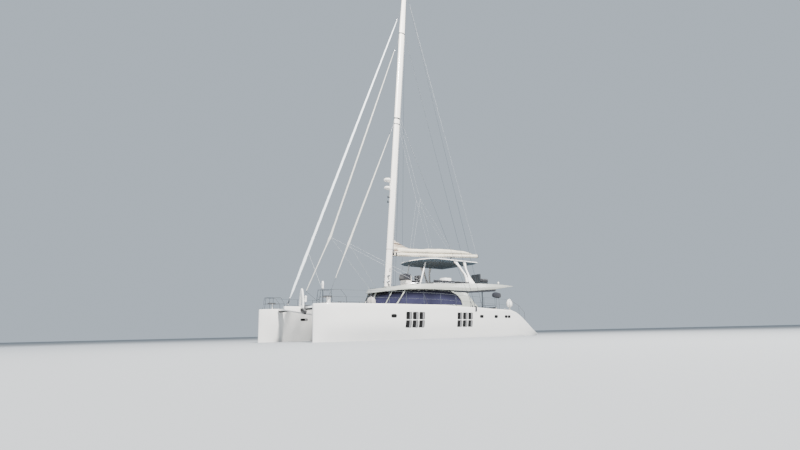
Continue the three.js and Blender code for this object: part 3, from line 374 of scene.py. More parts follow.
class Form:
    def __init__(self):
        self.bm = bmesh.new()

    def loft(self, rings, around=False):
        """Skins rings that have the same number of points; around joins the last ring to the first."""
        rows = [[self.bm.verts.new(p) for p in ring] for ring in rings]
        count = len(rows[0])
        pairs = list(zip(rows, rows[1:])) + ([(rows[-1], rows[0])] if around else [])
        for low, high in pairs:
            for i in range(count):
                j = (i + 1) % count
                self.bm.faces.new((low[i], low[j], high[j], high[i]))
        if not around:
            self.bm.faces.new(rows[0][::-1])
            self.bm.faces.new(rows[-1])
        return self

    def block(self, low, high):
        (x0, y0, z0), (x1, y1, z1) = low, high
        ring = [(x0, y0), (x1, y0), (x1, y1), (x0, y1)]
        return self.loft([[(x, y, z) for x, y in ring] for z in (z0, z1)])

    def tube(self, points, radius, sides=10, closed=False):
        """A round tube along points. The radius is one number or one for each point."""
        points = [Vector(p) for p in points]
        radii = radius if isinstance(radius, (list, tuple)) else [radius] * len(points)
        rings, normal = [], None
        for i, point in enumerate(points):
            before = points[i - 1] if i or closed else point
            after = points[(i + 1) % len(points)] if i + 1 < len(points) or closed else point
            along = (after - before).normalized()
            if normal is None:
                normal = along.orthogonal().normalized()
            normal = (normal - along * normal.dot(along)).normalized()
            side = along.cross(normal)
            rings.append([point + radii[i] * (math.cos(a) * normal + math.sin(a) * side)
                          for a in circle(sides)])
        return self.loft(rings, around=closed)

    def turned(self, profile, base, axis=(0, 0, 1), sides=20):
        """A lathe shape: the profile's rows are radius and distance along the axis from the base."""
        turn = Vector((0, 0, 1)).rotation_difference(Vector(axis).normalized())
        rings = []
        for radius, along in profile:
            radius = max(radius, 1e-4)
            ring = [(radius * math.cos(a), radius * math.sin(a), along) for a in circle(sides)]
            rings.append([turn @ Vector(p) + Vector(base) for p in ring])
        return self.loft(rings)

    def mirrored(self):
        """Adds a copy on the other side of the centreline."""
        every = self.bm.verts[:] + self.bm.edges[:] + self.bm.faces[:]
        made = bmesh.ops.duplicate(self.bm, geom=every)["geom"]
        verts = [part for part in made if isinstance(part, bmesh.types.BMVert)]
        faces = [part for part in made if isinstance(part, bmesh.types.BMFace)]
        bmesh.ops.scale(self.bm, vec=(1, -1, 1), verts=verts)
        bmesh.ops.reverse_faces(self.bm, faces=faces)
        return self

    def place(self, name, finish, slot, body="root", sharp=35, bevel=0.0, settle=True, blend=None):
        """Makes the object, shades it, gives it its finish and its body."""
        bmesh.ops.remove_doubles(self.bm, verts=self.bm.verts, dist=1e-5)
        bmesh.ops.recalc_face_normals(self.bm, faces=self.bm.faces)
        for face in self.bm.faces:
            face.smooth = True
        for edge in self.bm.edges:
            edge.smooth = len(edge.link_faces) == 2 and edge.calc_face_angle(0) < math.radians(sharp)
        mesh = bpy.data.meshes.new(name)
        self.bm.to_mesh(mesh)
        self.bm.free()
        piece = bpy.data.objects.new(name, mesh)
        bpy.context.scene.collection.objects.link(piece)
        mesh.materials.append(getattr(finish, "material", finish))
        if bevel:
            soften(piece, bevel)
        if settle:
            settled(piece, body, blend)
        return piece


print("a form is built by:", [way for way in vars(Form) if way[0] != "_"])

# %% [markdown]
# A placed piece is told to the frame: its finish, and the body of the boat that carries it. A line that hangs
# between boat and boom is given to no body: its place is baked into its mesh. Long curves are given as a
# few measured rows and read in between, in straight steps or as a fair curve.

# %% Settling a piece, rounding edges and reading tables
def settled(piece, body="root", blend=None):
    if blend:
        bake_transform(piece)
    else:
        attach(piece, body)
    return piece


def soften(piece, width, segments=2, angle=38):
    edge = piece.modifiers.new("edge", "BEVEL")
    edge.width = width
    edge.segments = segments
    edge.limit_method = "ANGLE"
    edge.angle_limit = math.radians(angle)
    return piece


def along_table(table, x, column=1):
    """A value between the rows of a table, sorted here by its first column."""
    rows = sorted(table)
    if x <= rows[0][0]:
        return rows[0][column]
    for a, b in zip(rows, rows[1:]):
        if x <= b[0]:
            return a[column] + (b[column] - a[column]) * (x - a[0]) / (b[0] - a[0])
    return rows[-1][column]


def fair(table, x, column):
    """Like along_table, but on a smooth curve that never overshoots its rows."""
    rows = sorted(table)
    x = min(max(x, rows[0][0]), rows[-1][0])
    spans = [(b[column] - a[column]) / (b[0] - a[0]) for a, b in zip(rows, rows[1:])]
    inner = [0 if a * b <= 0 else 2 * a * b / (a + b) for a, b in zip(spans, spans[1:])]
    slopes = [spans[0]] + inner + [spans[-1]]
    k = max(i for i in range(len(rows) - 1) if rows[i][0] <= x or i == 0)
    run = rows[k + 1][0] - rows[k][0]
    t = (x - rows[k][0]) / run
    a, b = rows[k][column], rows[k + 1][column]
    return ((2 * t**3 - 3 * t**2 + 1) * a + (t**3 - 2 * t**2 + t) * run * slopes[k]
            + (3 * t**2 - 2 * t**3) * b + (t**3 - t**2) * run * slopes[k + 1])


def rounded(x0, x1, z0, z1, radius, steps=5):
    """A rounded rectangle as points (a, b), in order round its edge."""
    corners = [(x1 - radius, z1 - radius, 0), (x0 + radius, z1 - radius, 90),
               (x0 + radius, z0 + radius, 180), (x1 - radius, z0 + radius, 270)]
    outline = []
    for cx, cz, start in corners:
        for i in range(steps + 1):
            a = math.radians(start + 90 * i / steps)
            outline.append((cx + radius * math.cos(a), cz + radius * math.sin(a)))
    return outline


print("a rounded pane has", len(rounded(0, 1, 0, 1, 0.1)), "points")

# %% [markdown]
# ### Softening the frame's own solids
#
# The solids come as loose triangles. Three live modifiers dress them without touching their meshes: a
# Weld joins the triangles, a Bevel rounds hard edges, and a small Geometry Nodes tree shades every edge
# smooth that turns less than an angle. The tree is the same for all, so it is built once.

# %% Dressing a solid
def shading_tree():
    tree = bpy.data.node_groups.new("shade_by_angle", "GeometryNodeTree")
    tree.interface.new_socket("Geometry", in_out="INPUT", socket_type="NodeSocketGeometry")
    angle = tree.interface.new_socket("Angle", in_out="INPUT", socket_type="NodeSocketFloat")
    angle.default_value = math.radians(35)
    tree.interface.new_socket("Geometry", in_out="OUTPUT", socket_type="NodeSocketGeometry")
    inside = tree.nodes.new("NodeGroupInput")
    outside = tree.nodes.new("NodeGroupOutput")
    turn = tree.nodes.new("GeometryNodeInputMeshEdgeAngle")
    gentle = tree.nodes.new("FunctionNodeCompare")
    gentle.operation = "LESS_THAN"
    every_face = tree.nodes.new("GeometryNodeSetShadeSmooth")
    by_edge = tree.nodes.new("GeometryNodeSetShadeSmooth")
    by_edge.domain = "EDGE"
    tree.links.new(turn.outputs["Unsigned Angle"], gentle.inputs[0])
    tree.links.new(inside.outputs["Angle"], gentle.inputs[1])
    tree.links.new(inside.outputs["Geometry"], every_face.inputs["Geometry"])
    tree.links.new(every_face.outputs["Geometry"], by_edge.inputs["Geometry"])
    tree.links.new(gentle.outputs["Result"], by_edge.inputs["Shade Smooth"])
    tree.links.new(by_edge.outputs["Geometry"], outside.inputs["Geometry"])
    return tree


by_angle = shading_tree()
print("shading tree:", len(by_angle.nodes), "nodes")


def dress(node, finish, bevel=0.0, segments=2):
    """Gives a frame solid its finish, welded and shaded, with its edges rounded if bevel is given."""
    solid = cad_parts[node]
    solid.data.materials.clear()
    solid.data.materials.append(getattr(finish, "material", finish))
    weld = solid.modifiers.new("weld", "WELD")
    weld.merge_threshold = 0.0002
    if bevel:
        soften(solid, bevel, segments)
    shade = solid.modifiers.new("shade", "NODES")
    shade.node_group = by_angle
    return solid

# %% [markdown]
# Each solid gets the finish that it has on the boat. The rounding follows the part: broad on moulded shells,
# a few millimetres on metal, and none where a bar is round already.

# %% Every solid's finish
both = ("port", "starboard")
for end in both:
    dress(f"keel_{end}", antifouling)
    dress(f"rudder_{end}", antifouling, 0.006)
    dress(f"shaft_bracket_{end}", bronze, 0.004)
    dress(f"propeller_{end}", bronze, 0.003)
dress("bridge_deck", hull_white, 0.03)
dress("bowsprit", hull_white, 0.02, 3)
dress("crossbeam", hull_white, 0.03, 3)
dress("striker", hull_white, 0.022, 3)
dress("flybridge", cabin_cream, 0.03, 3)
dress("saloon_shell", cabin_cream, 0.012)
dress("saloon_glass", saloon_tint)
dress("saloon_door", saloon_tint, 0.004)
dress("mast", spar_paint)
dress("radar_domes", spar_paint, 0.006)
dress("boom", boom_paint, 0.035, 3)
dress("gooseneck", steel, 0.004)
dress("hardtop", hull_white, 0.02, 3)
dress("wet_bar", hull_white, 0.025, 3)
dress("helm_console", hull_white, 0.04, 3)
dress("flybridge_stair", hull_white, 0.006)
dress("galley_counter", teak, 0.01)
dress("saloon_table", teak, 0.008)
dress("cockpit_table", teak, 0.012)
dress("flybridge_table", teak, 0.012)
dress("helm_wheel", steel, 0.003)
for end in both:
    dress(f"hardtop_leg_aft_{end}", hull_white, 0.03, 3)
    dress(f"hardtop_leg_fore_{end}", hull_white, 0.008)
    dress(f"cockpit_post_{end}", powder_coat)
    dress(f"pulpit_{end}", steel)
    dress(f"lifelines_{end}", steel)
print("solids dressed:", sum(1 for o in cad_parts.values() if o.modifiers))

# %% [markdown]
# ## The hulls
#
# A hull is a long moulding with a plumb bow, nearly upright topsides and a round bottom. It could be
# sculpted, but boat builders describe it by sections at stations along its length, and a loft over
# sections is just that. The table below has one row for each station; a fair curve through each column
# gives as many sections between them as the surface needs.

# %% The hull's table and sections
HULL_MIDDLE = 3.66
DECK_TOP = 2.3
# Columns: x, deck height, outer edge, inner edge, half width at the waterline, depth of the bottom
STATIONS = [
    (10.65, 2.28, 3.72, 3.6, 0.025, 0.35), (9.8, 2.3, 4.2, 3.12, 0.27, 0.52),
    (8.55, 2.3, 4.5, 2.8, 0.48, 0.64), (7.0, 2.3, 4.74, 2.4, 0.66, 0.72),
    (4.9, 2.3, 4.9, 2.4, 0.81, 0.77), (1.2, 2.3, 4.95, 2.4, 0.93, 0.8),
    (-0.9, 2.22, 4.95, 2.4, 0.95, 0.8), (-2.55, 2.19, 4.93, 2.4, 0.95, 0.78),
    (-4.45, 2.12, 4.89, 2.4, 0.93, 0.72), (-6.9, 2.05, 4.8, 2.4, 0.88, 0.52),
    (-7.55, 1.9, 4.77, 2.4, 0.86, 0.43), (-8.2, 1.63, 4.74, 2.4, 0.84, 0.34),
    (-8.97, 1.18, 4.69, 2.4, 0.815, 0.24), (-9.74, 0.67, 4.64, 2.48, 0.79, 0.15),
    (-10.3, 0.33, 4.6, 2.56, 0.77, 0.09), (-10.65, 0.12, 4.58, 2.62, 0.75, 0.05),
]
# Columns: x, height above which the inboard side goes straight up
KNUCKLE = [(10.65, 1.35), (9.8, 1.2), (8.55, 1.05), (7.0, 0.95)]
TOPSIDE = slice(3, 14)  # which points of a section lie on its outer side


def deck_at(x):
    return along_table(STATIONS, x)


def spline(points, steps):
    """Points on a smooth curve through the given ones, each span cut into so many steps."""
    ends = [2 * points[0] - points[1]] + points + [2 * points[-1] - points[-2]]
    curve = []
    for a, b, c, d in zip(ends, ends[1:], ends[2:], ends[3:]):
        for i in range(steps):
            t = i / steps
            curve.append(0.5 * (2 * b + (c - a) * t + (2 * a - 5 * b + 4 * c - d) * t**2
                                + (3 * b - a - 3 * c + d) * t**3))
    return curve + [points[-1]]


def hull_section(x):
    """One section as (y, z) points: over the outer edge, down the topside, round the bottom, up inside."""
    deck, outer, inner, half, depth = (fair(STATIONS, x, k) for k in range(1, 6))
    radius = min(0.035, 0.3 * deck)
    mid = min(1.0, 0.5 * deck)
    knuckle = min(along_table(KNUCKLE, x), 0.55 * deck)
    middle = HULL_MIDDLE
    edge = [Vector((outer - radius + radius * math.sin(a), deck - radius + radius * math.cos(a)))
            for a in (0, math.pi / 6, math.pi / 3)]
    topside = [Vector((outer, deck - radius)), Vector((outer - 0.08 * (outer - middle), mid)),
               Vector((middle + half, 0))]
    round_bottom = ((1, 0), (0.8, 0.5), (0.42, 0.88), (0, 1), (-0.42, 0.88), (-0.8, 0.5), (-1, 0))
    bottom = [Vector((middle + s * half, -d * depth)) for s, d in round_bottom]
    inside = [Vector((inner, knuckle)), Vector((inner, deck - 0.5 * radius)),
              Vector((inner + 0.5 * radius, deck))]
    return edge + spline(topside, 5)[:-1] + spline(bottom, 3) + inside


def topside_at(x, z):
    """How far out the outer side stands at a height."""
    side = hull_section(x)[TOPSIDE]
    for low, high in zip(side[1:], side):
        if low.y <= z <= high.y:
            return low.x + (high.x - low.x) * (z - low.y) / (high.y - low.y)
    return side[0].x


def inner_at(x, z):
    """Where the inboard side stands, counted outwards from it, so below zero. Upright, whatever the z."""
    return -fair(STATIONS, x, 3)


xs = sorted({s[0] for s in STATIONS} | {-10.65 + 21.3 * i / 70 for i in range(71)})
print("sections:", len(xs), "points in each:", len(hull_section(0)))

# %% [markdown]
# The stern steps are cut out of the loft with a Boolean modifier, as a mould maker would block them out.
# What lies under the waterline gets the second material, antifouling paint, face by face.

# %% The hull skins, with their stern steps
TREADS = [(-7.35, 1.62), (-7.95, 1.3), (-8.5, 0.98), (-9.0, 0.68), (-9.45, 0.4), (-9.9, 0.18)]
STEP_SIDES = (2.58, 4.47)


def evaluated(piece, name):
    """A plain mesh object of a piece with its modifiers carried out; the original goes."""
    graph = bpy.context.evaluated_depsgraph_get()
    graph.update()
    mesh = bpy.data.meshes.new_from_object(piece.evaluated_get(graph))
    mesh.name = name
    result = bpy.data.objects.new(name, mesh)
    bpy.context.scene.collection.objects.link(result)
    bpy.data.objects.remove(piece)
    return result


def step_outline():
    outline = [(-7.35, 3.0)]
    for i, (x, z) in enumerate(TREADS):
        outline += [(x, z), (TREADS[i + 1][0] if i + 1 < len(TREADS) else -11.0, z)]
    return outline + [(-11.0, 3.0)]


def hull_skin(end, side):
    blank = Form().loft([[(x, side * p.x, p.y) for p in hull_section(x)] for x in xs])
    skin = blank.place("skin_blank", hull_white, "gelcoat", settle=False)
    steps = Form().loft([[(x, side * y, z) for x, z in step_outline()] for y in STEP_SIDES])
    cutter = steps.place("step_blank", hull_white, "gelcoat", settle=False)
    cutting = skin.modifiers.new("steps", "BOOLEAN")
    cutting.operation = "DIFFERENCE"
    cutting.solver = "EXACT"
    cutting.object = cutter
    hull = evaluated(skin, f"hull_skin_{end}")
    bpy.data.objects.remove(cutter)
    hull.data.materials.clear()
    hull.data.materials.append(hull_white)
    hull.data.materials.append(antifouling.material)
    for face in hull.data.polygons:
        face.material_index = 1 if face.center.z < -0.005 else 0
    soften(hull, 0.014, 2, 40)
    shade = hull.modifiers.new("shade", "NODES")
    shade.node_group = by_angle
    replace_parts(hull, f"hull_{end}")
    settled(hull)
    print(hull.name, len(hull.data.polygons), "faces")


for end, side in zip(both, (1, -1)):
    hull_skin(end, side)

# %% [markdown]
# ### Hull windows and ports
#
# Two groups of six square panes light the cabins in each hull, and small oval ports light the rest. The
# real panes are dark acrylic bonded on, a few millimetres proud, with a black gasket. So each is a thin
# plate whose outline is drawn in side view and then laid on the hull's own side.

# %% Panes laid on the hull
def stepped(outline, pieces=6):
    """Divides an outline's long edges, so that they can follow a curved side."""
    points = []
    for a, b in zip(outline, outline[1:] + outline[:1]):
        a, b = Vector(a), Vector(b)
        count = pieces if (b - a).length > 0.09 else 1
        points += [a.lerp(b, i / count) for i in range(count)]
    return points


def laid_plate(form, outline, lift, depth, side, surface):
    """A plate in rings that shrink to its middle, so that all of it follows the curved side."""
    middle = sum((Vector(p) for p in outline), Vector((0, 0))) / len(outline)
    rings = []
    for scale, height in ((1, -depth), (1, lift), (0.72, lift), (0.42, lift), (0.12, lift)):
        ring = [middle + scale * (Vector(p) - middle) for p in outline]
        rings.append([(p.x, side * (surface(p.x, p.y) + height), p.y) for p in ring])
    share = form.bm.verts.layers.float.get("across") or form.bm.verts.layers.float.new("across")
    before = len(form.bm.verts)
    form.loft(rings)
    low, high = min(p[0] for p in outline), max(p[0] for p in outline)
    curtain = high - low > 0.45  # only the square windows are this wide
    for vert in list(form.bm.verts)[before:]:
        vert[share] = (vert.co.x - low) / (high - low) if curtain else 1.0


def laid_frame(form, inner, outer, lift, depth, side, surface):
    rings = [(outer, -depth), (outer, lift * 0.6), (inner, lift), (inner, -depth)]
    form.loft([[(x, side * (surface(x, z) + h), z) for x, z in ring] for ring, h in rings], around=True)


WINDOW_GROUPS = [(2.67, 4.3), (-2.19, -0.57)]
WINDOW_ROWS = [(0.79, 1.235), (1.325, 1.78)]
PANE_GAP = 0.11
# Columns: x of the middle, length, height
PORTS = [(5.33, 0.42, 0.2), (-3.24, 0.4, 0.19), (-4.99, 0.4, 0.19), (-6.28, 0.34, 0.18), (-6.68, 0.34, 0.18)]
PORT_HEIGHT = 1.53


def window_outlines(grow=0.0):
    outlines = []
    for x0, x1 in WINDOW_GROUPS:
        pitch = (x1 - x0 + PANE_GAP) / 3
        for column in range(3):
            left = x0 + column * pitch
            right = left + pitch - PANE_GAP
            for low, high in WINDOW_ROWS:
                outlines.append(rounded(left - grow, right + grow, low - grow, high + grow, 0.05 + grow))
    for x, wide, high in PORTS:
        x0, x1 = x - wide / 2, x + wide / 2
        z0, z1 = PORT_HEIGHT - high / 2, PORT_HEIGHT + high / 2
        outlines.append(rounded(x0 - grow, x1 + grow, z0 - grow, z1 + grow, 0.085 + grow))
    return outlines


for end, side in zip(both, (1, -1)):
    panes, gaskets = Form(), Form()
    for inner, outer in zip(map(stepped, window_outlines()), map(stepped, window_outlines(0.022))):
        laid_plate(panes, inner, 0.003, 0.02, side, topside_at)
        laid_frame(gaskets, inner, outer, 0.006, 0.02, side, topside_at)
    inboard = stepped(rounded(7.455, 7.925, 1.46, 1.6, 0.06))
    inboard_edge = stepped(rounded(7.433, 7.947, 1.438, 1.622, 0.082))
    laid_plate(panes, inboard, 0.003, 0.02, -side, inner_at)
    laid_frame(gaskets, inboard, inboard_edge, 0.006, 0.02, -side, inner_at)
    panes.place(f"hull_panes_{end}", curtained_tint, "tinted_glass")
    gaskets.place(f"hull_gaskets_{end}", black_rubber, "dark_metal")
print("panes on each hull:", len(window_outlines()) + 1)

# %% [markdown]
# ## Decks
#
# Decks are moulded with a grip pattern in panels, and smooth gelcoat is left between them for water to run
# off. Each panel is a plate a few millimetres proud. On the hulls it is a loft along x, because the
# deck's width and height change on the way; on the bridge deck plain rounded plates do.

# %% Grip panels on the hulls and the bridge deck
def hull_panel(form, side, x0, x1, inner_gap, outer_gap, inner_limit=0.0, steps=10):
    rings = []
    for i in range(steps + 1):
        x = x0 + (x1 - x0) * i / steps
        top = fair(STATIONS, x, 1)
        inner = max(fair(STATIONS, x, 3) + inner_gap, inner_limit)
        outer = fair(STATIONS, x, 2) - outer_gap
        rings.append([(x, side * inner, top - 0.01), (x, side * outer, top - 0.01),
                      (x, side * outer, top + 0.004), (x, side * inner, top + 0.004)])
    form.loft(rings)


def flat_panel(form, outline, z, thick=0.005):
    form.loft([[(x, y, h) for x, y in outline] for h in (z - 0.01, z + thick)])


GRIP_TOP = 2.305
BESIDE_CABIN = 3.72
grips = Form()
for side in (1, -1):
    for x0, x1 in ((9.55, 8.75), (8.6, 7.2), (7.0, 4.6)):
        hull_panel(grips, side, x0, x1, 0.14, 0.16)
    for x0, x1 in ((4.35, 1.4), (1.25, -2.3), (-2.8, -5.2)):
        hull_panel(grips, side, x0, x1, 0.1, 0.16, BESIDE_CABIN)
    hull_panel(grips, side, -5.5, -7.2, 0.14, 0.16)
    for x0, x1 in ((4.2, 5.45), (5.6, 6.95)):
        for y0, y1 in ((0.3, 1.25), (1.37, 2.28)):
            flat_panel(grips, [(x, side * y) for x, y in rounded(x0, x1, y0, y1, 0.12)], DECK_TOP)
deck_grips = grips.place("deck_grips", grip, "superstructure", sharp=20)
print("deck grips:", len(deck_grips.data.polygons), "faces")

# %% [markdown]
# Teak lies where people sit and step: the stern steps, the cockpit floor and the flybridge floor. It is a
# thin plate too, with a pale border of gelcoat round it.

# %% Teak on the steps and floors
soles = Form()
for side in (1, -1):
    for (x, z), following in zip(TREADS, TREADS[1:] + [(-10.45, 0)]):
        border = 0.05 if x > -9.7 else 0.12
        outline = rounded(following[0] + 0.05, x - 0.07, 2.68 + border, 4.38, 0.05)
        flat_panel(soles, [(px, side * py) for px, py in outline], z, 0.006)
flat_panel(soles, rounded(-7.25, -3.85, -2.28, 2.28, 0.1), 1.6, 0.006)
flat_panel(soles, rounded(-6.1, 0.95, -2.3, 2.2, 0.15), 3.85, 0.005)
teak_soles = soles.place("teak_soles", teak, "joinery", sharp=20)
print("teak:", len(teak_soles.data.polygons), "faces")

# %% [markdown]
# ### Hatches, lockers and cleats
#
# Flush hatches with dark lids sit in the side decks and the foredeck, and white locker lids beside
# them. A mooring cleat has a base, two posts and a horn bar that thins to its ends. Each is modelled
# once as a function and set down wherever the boat has one.

# %% Hatches, lockers and cleats
def framed(x0, x1, y0, y1, radius, z, inset=0.0):
    """A rounded rectangle at a height, drawn in by the inset."""
    outline = rounded(x0 + inset, x1 - inset, y0 + inset, y1 - inset, radius)
    return [(x, y, z) for x, y in outline]


def hatch(frames, lids, x, y, wide, long, z):
    box = (x - long / 2, x + long / 2, y - wide / 2, y + wide / 2)
    frames.loft([framed(*box, 0.09, z - 0.01), framed(*box, 0.09, z + 0.022),
                 framed(*box, 0.07, z + 0.03, inset=0.03)])
    lids.loft([framed(*box, 0.06, z + h, inset=0.04) for h in (0.0, 0.036)])


def locker(form, x0, x1, y0, y1, z):
    box = (x0, x1, y0, y1)
    form.loft([framed(*box, 0.06, z - 0.01), framed(*box, 0.06, z + 0.014),
               framed(*box, 0.05, z + 0.02, inset=0.015)])


def cleat(form, x, y, z, long=0.34):
    for end in (-1, 1):
        foot = (x + end * 0.2 * long, y, z)
        form.turned([(0.03, 0), (0.022, 0.02), (0.017, 0.05), (0.017, 0.075)], foot, sides=10)
    shares = (-1, -0.6, -0.2, 0.2, 0.6, 1)
    horn = [(x + s * long / 2, y, z + 0.082 + 0.012 * abs(s) ** 3) for s in shares]
    form.tube(horn, [0.009, 0.016, 0.02, 0.02, 0.016, 0.009], 8)


frames, lids, lockers, cleats = Form(), Form(), Form(), Form()
for side in (1, -1):
    for x, y in ((7.9, 3.75), (5.9, 3.45), (3.0, 4.3), (-3.7, 4.28)):
        hatch(frames, lids, x, side * y, 0.52, 0.62, fair(STATIONS, x, 1))
    hatch(frames, lids, 6.25, side * 1.82, 0.56, 0.66, GRIP_TOP)
    locker(lockers, 4.35, 5.3, *sorted((side * 0.45, side * 1.1)), GRIP_TOP)
    for x in (9.15, -0.2, -6.3):
        cleat(cleats, x, side * (fair(STATIONS, x, 2) - 0.1), fair(STATIONS, x, 1))
frames.place("hatch_frames", powder_coat, "dark_metal")
lids.place("hatch_lids", hull_tint, "tinted_glass")
lockers.place("foredeck_lockers", hull_white, "gelcoat")
mooring = cleats.place("mooring_cleats", steel, "stainless")
print("mooring cleats:", len(mooring.data.polygons), "faces")

# %% [markdown]
# ## Trampolines
#
# Between the bows there is no deck, only a net of white webbing laced to the hulls and the crossbeam. Its
# strands repeat at one spacing, so a Geometry Nodes tree makes them. These helpers build a tree from a few
# short lines and run it once.

# %% Building and running a tree
def new_tree(name, sockets):
    tree = bpy.data.node_groups.new(name, "GeometryNodeTree")
    for label, kind in sockets:
        tree.interface.new_socket(label, in_out="INPUT", socket_type=kind)
    tree.interface.new_socket("Geometry", in_out="OUTPUT", socket_type="NodeSocketGeometry")
    return tree, tree.nodes.new("NodeGroupInput").outputs, tree.nodes.new("NodeGroupOutput").inputs


def node_in(tree, kind, settings=None, **sockets):
    """Adds a node. Each socket is given a number or another node's output; i0 is the first socket."""
    node = tree.nodes.new(kind)
    for key, value in (settings or {}).items():
        setattr(node, key, value)
    for label, value in sockets.items():
        by_number = label[0] == "i" and label[1:].isdigit()
        socket = node.inputs[int(label[1:]) if by_number else label.replace("_", " ")]
        if isinstance(value, bpy.types.NodeSocket):
            tree.links.new(value, socket)
        else:
            socket.default_value = value
    return node


def grown(name, tree, finish, points=(), **values):
    """Runs a tree once with these inputs and keeps the result as a plain mesh object."""
    holder = bpy.data.objects.new(name + "_seed", bpy.data.meshes.new(name + "_seed"))
    holder.data.from_pydata([tuple(p) for p in points], [], [])
    bpy.context.scene.collection.objects.link(holder)
    modifier = holder.modifiers.new("grow", "NODES")
    modifier.node_group = tree
    sockets = {item.name: item.identifier for item in tree.interface.items_tree if item.in_out == "INPUT"}
    for label, value in values.items():
        modifier[sockets[label.replace("_", " ")]] = value
    modifier[sockets["Finish"]] = getattr(finish, "material", finish)
    holder.update_tag()
    made = evaluated(holder, name)
    print(name, len(made.data.polygons), "faces")
    return made


print("helpers for trees:", [helper.__name__ for helper in (new_tree, node_in, grown)])

# %% [markdown]
# The net is a row of points for each direction, and a thin strand on each point, stretched to reach the
# slanting outer edge. Where that edge cuts a lengthways strand short, its point moves forward by what is
# missing.

# %% A tree that weaves a net
def net_tree():
    tree, given, out = new_tree("woven_net", [
        ("Start", "NodeSocketVector"), ("Length", "NodeSocketFloat"), ("Inner", "NodeSocketFloat"),
        ("Outer Near", "NodeSocketFloat"), ("Outer Far", "NodeSocketFloat"), ("Spacing", "NodeSocketFloat"),
        ("Strand", "NodeSocketFloat"), ("Finish", "NodeSocketMaterial")])

    def math_node(kind, a, b):
        return node_in(tree, "ShaderNodeMath", {"operation": kind}, i0=a, i1=b).outputs[0]

    count = math_node("DIVIDE", given["Length"], given["Spacing"])
    step = node_in(tree, "ShaderNodeCombineXYZ", X=given["Spacing"])
    row = node_in(tree, "GeometryNodeMeshLine", {"mode": "OFFSET"}, Count=count,
                  Start_Location=given["Start"], Offset=step.outputs[0])
    index = node_in(tree, "GeometryNodeInputIndex").outputs[0]
    share = math_node("DIVIDE", index, count)
    reach = node_in(tree, "ShaderNodeMapRange", Value=share, To_Min=given["Outer Near"],
                    To_Max=given["Outer Far"])
    wide = math_node("SUBTRACT", reach.outputs[0], given["Inner"])
    strand = node_in(tree, "GeometryNodeMeshCylinder", Vertices=6, Radius=given["Strand"], Depth=1.0)
    across = node_in(tree, "GeometryNodeTransform", Geometry=strand.outputs["Mesh"],
                     Translation=(0, 0, 0.5))
    turned = node_in(tree, "GeometryNodeTransform", Geometry=across.outputs[0],
                     Rotation=(-math.pi / 2, 0, 0))
    size = node_in(tree, "ShaderNodeCombineXYZ", X=1.0, Y=wide, Z=1.0)
    cross = node_in(tree, "GeometryNodeInstanceOnPoints", Points=row.outputs["Mesh"],
                    Instance=turned.outputs[0], Scale=size.outputs[0])

    full_width = math_node("SUBTRACT", given["Outer Far"], given["Inner"])
    rows_across = math_node("DIVIDE", full_width, given["Spacing"])
    side_step = node_in(tree, "ShaderNodeCombineXYZ", Y=given["Spacing"])
    column = node_in(tree, "GeometryNodeMeshLine", {"mode": "OFFSET"}, Count=rows_across,
                     Start_Location=given["Start"], Offset=side_step.outputs[0])
    edge_y = math_node("ADD", math_node("MULTIPLY", index, given["Spacing"]), given["Inner"])
    missing = node_in(tree, "ShaderNodeMapRange", Value=edge_y, From_Min=given["Outer Near"],
                      From_Max=given["Outer Far"], To_Min=0.0, To_Max=given["Length"]).outputs[0]
    shifted = node_in(tree, "GeometryNodeSetPosition", Geometry=column.outputs["Mesh"],
                      Offset=node_in(tree, "ShaderNodeCombineXYZ", X=missing).outputs[0])
    endways = node_in(tree, "GeometryNodeTransform", Geometry=across.outputs[0],
                      Rotation=(0, math.pi / 2, 0))
    rest = math_node("SUBTRACT", given["Length"], missing)
    long = node_in(tree, "ShaderNodeCombineXYZ", X=rest, Y=1.0, Z=1.0)
    length = node_in(tree, "GeometryNodeInstanceOnPoints", Points=shifted.outputs[0],
                     Instance=endways.outputs[0], Scale=long.outputs[0])
    both_ways = tree.nodes.new("GeometryNodeJoinGeometry")
    tree.links.new(cross.outputs[0], both_ways.inputs[0])
    tree.links.new(length.outputs[0], both_ways.inputs[0])
    real = node_in(tree, "GeometryNodeRealizeInstances", Geometry=both_ways.outputs[0])
    coated = node_in(tree, "GeometryNodeSetMaterial", Geometry=real.outputs[0], Material=given["Finish"])
    tree.links.new(coated.outputs[0], out["Geometry"])
    return tree


net = net_tree()
for end, side in zip(both, (1, -1)):
    woven_net = grown(f"net_{end}", net, net_white, Start=(7.13, 0.17, 2.252), Length=2.02, Inner=0.17,
                      Outer_Near=2.39, Outer_Far=2.93, Spacing=0.03, Strand=0.004)
    if side < 0:
        woven_net.data.transform(Matrix.Scale(-1, 4, (0, 1, 0)))
        woven_net.data.flip_normals()
    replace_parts(woven_net, f"trampoline_{end}")
    settled(woven_net)

# %% [markdown]
# ## The superstructure
#
# The saloon's windows lie in openings of its shell. A thin black gasket runs round each opening, and the
# dark strip under the roof's edge is painted shade. The front is a half ellipse, so a point on it is
# found from an angle and a height; the straight side is found from x and a height.

# %% Points on the saloon's walls, and the window gaskets
SALOON_MIDDLE = -0.5


def saloon_size(z):
    share = (z - 2.05) / (3.5597 - 2.05)
    return 4.3 - 0.8 * share, 3.56 - 0.24 * share


def front_point(degrees, z, out=0.0):
    reach, half = saloon_size(z)
    a = math.radians(degrees)
    return Vector((SALOON_MIDDLE + (reach + out) * math.cos(a), (half + out) * math.sin(a), z))


def side_point(x, z, out=0.0):
    return Vector((x, saloon_size(z)[1] + out, z))


SILL, HEAD = 2.43, 3.47
# Columns: the angles where a window's sill starts and ends, then those of its head
FRONT_WINDOWS = [(1.2, 21.9, 1.2, 25.6), (23.3, 35.3, 27, 41.7), (37.3, 91, 43.7, 91)]
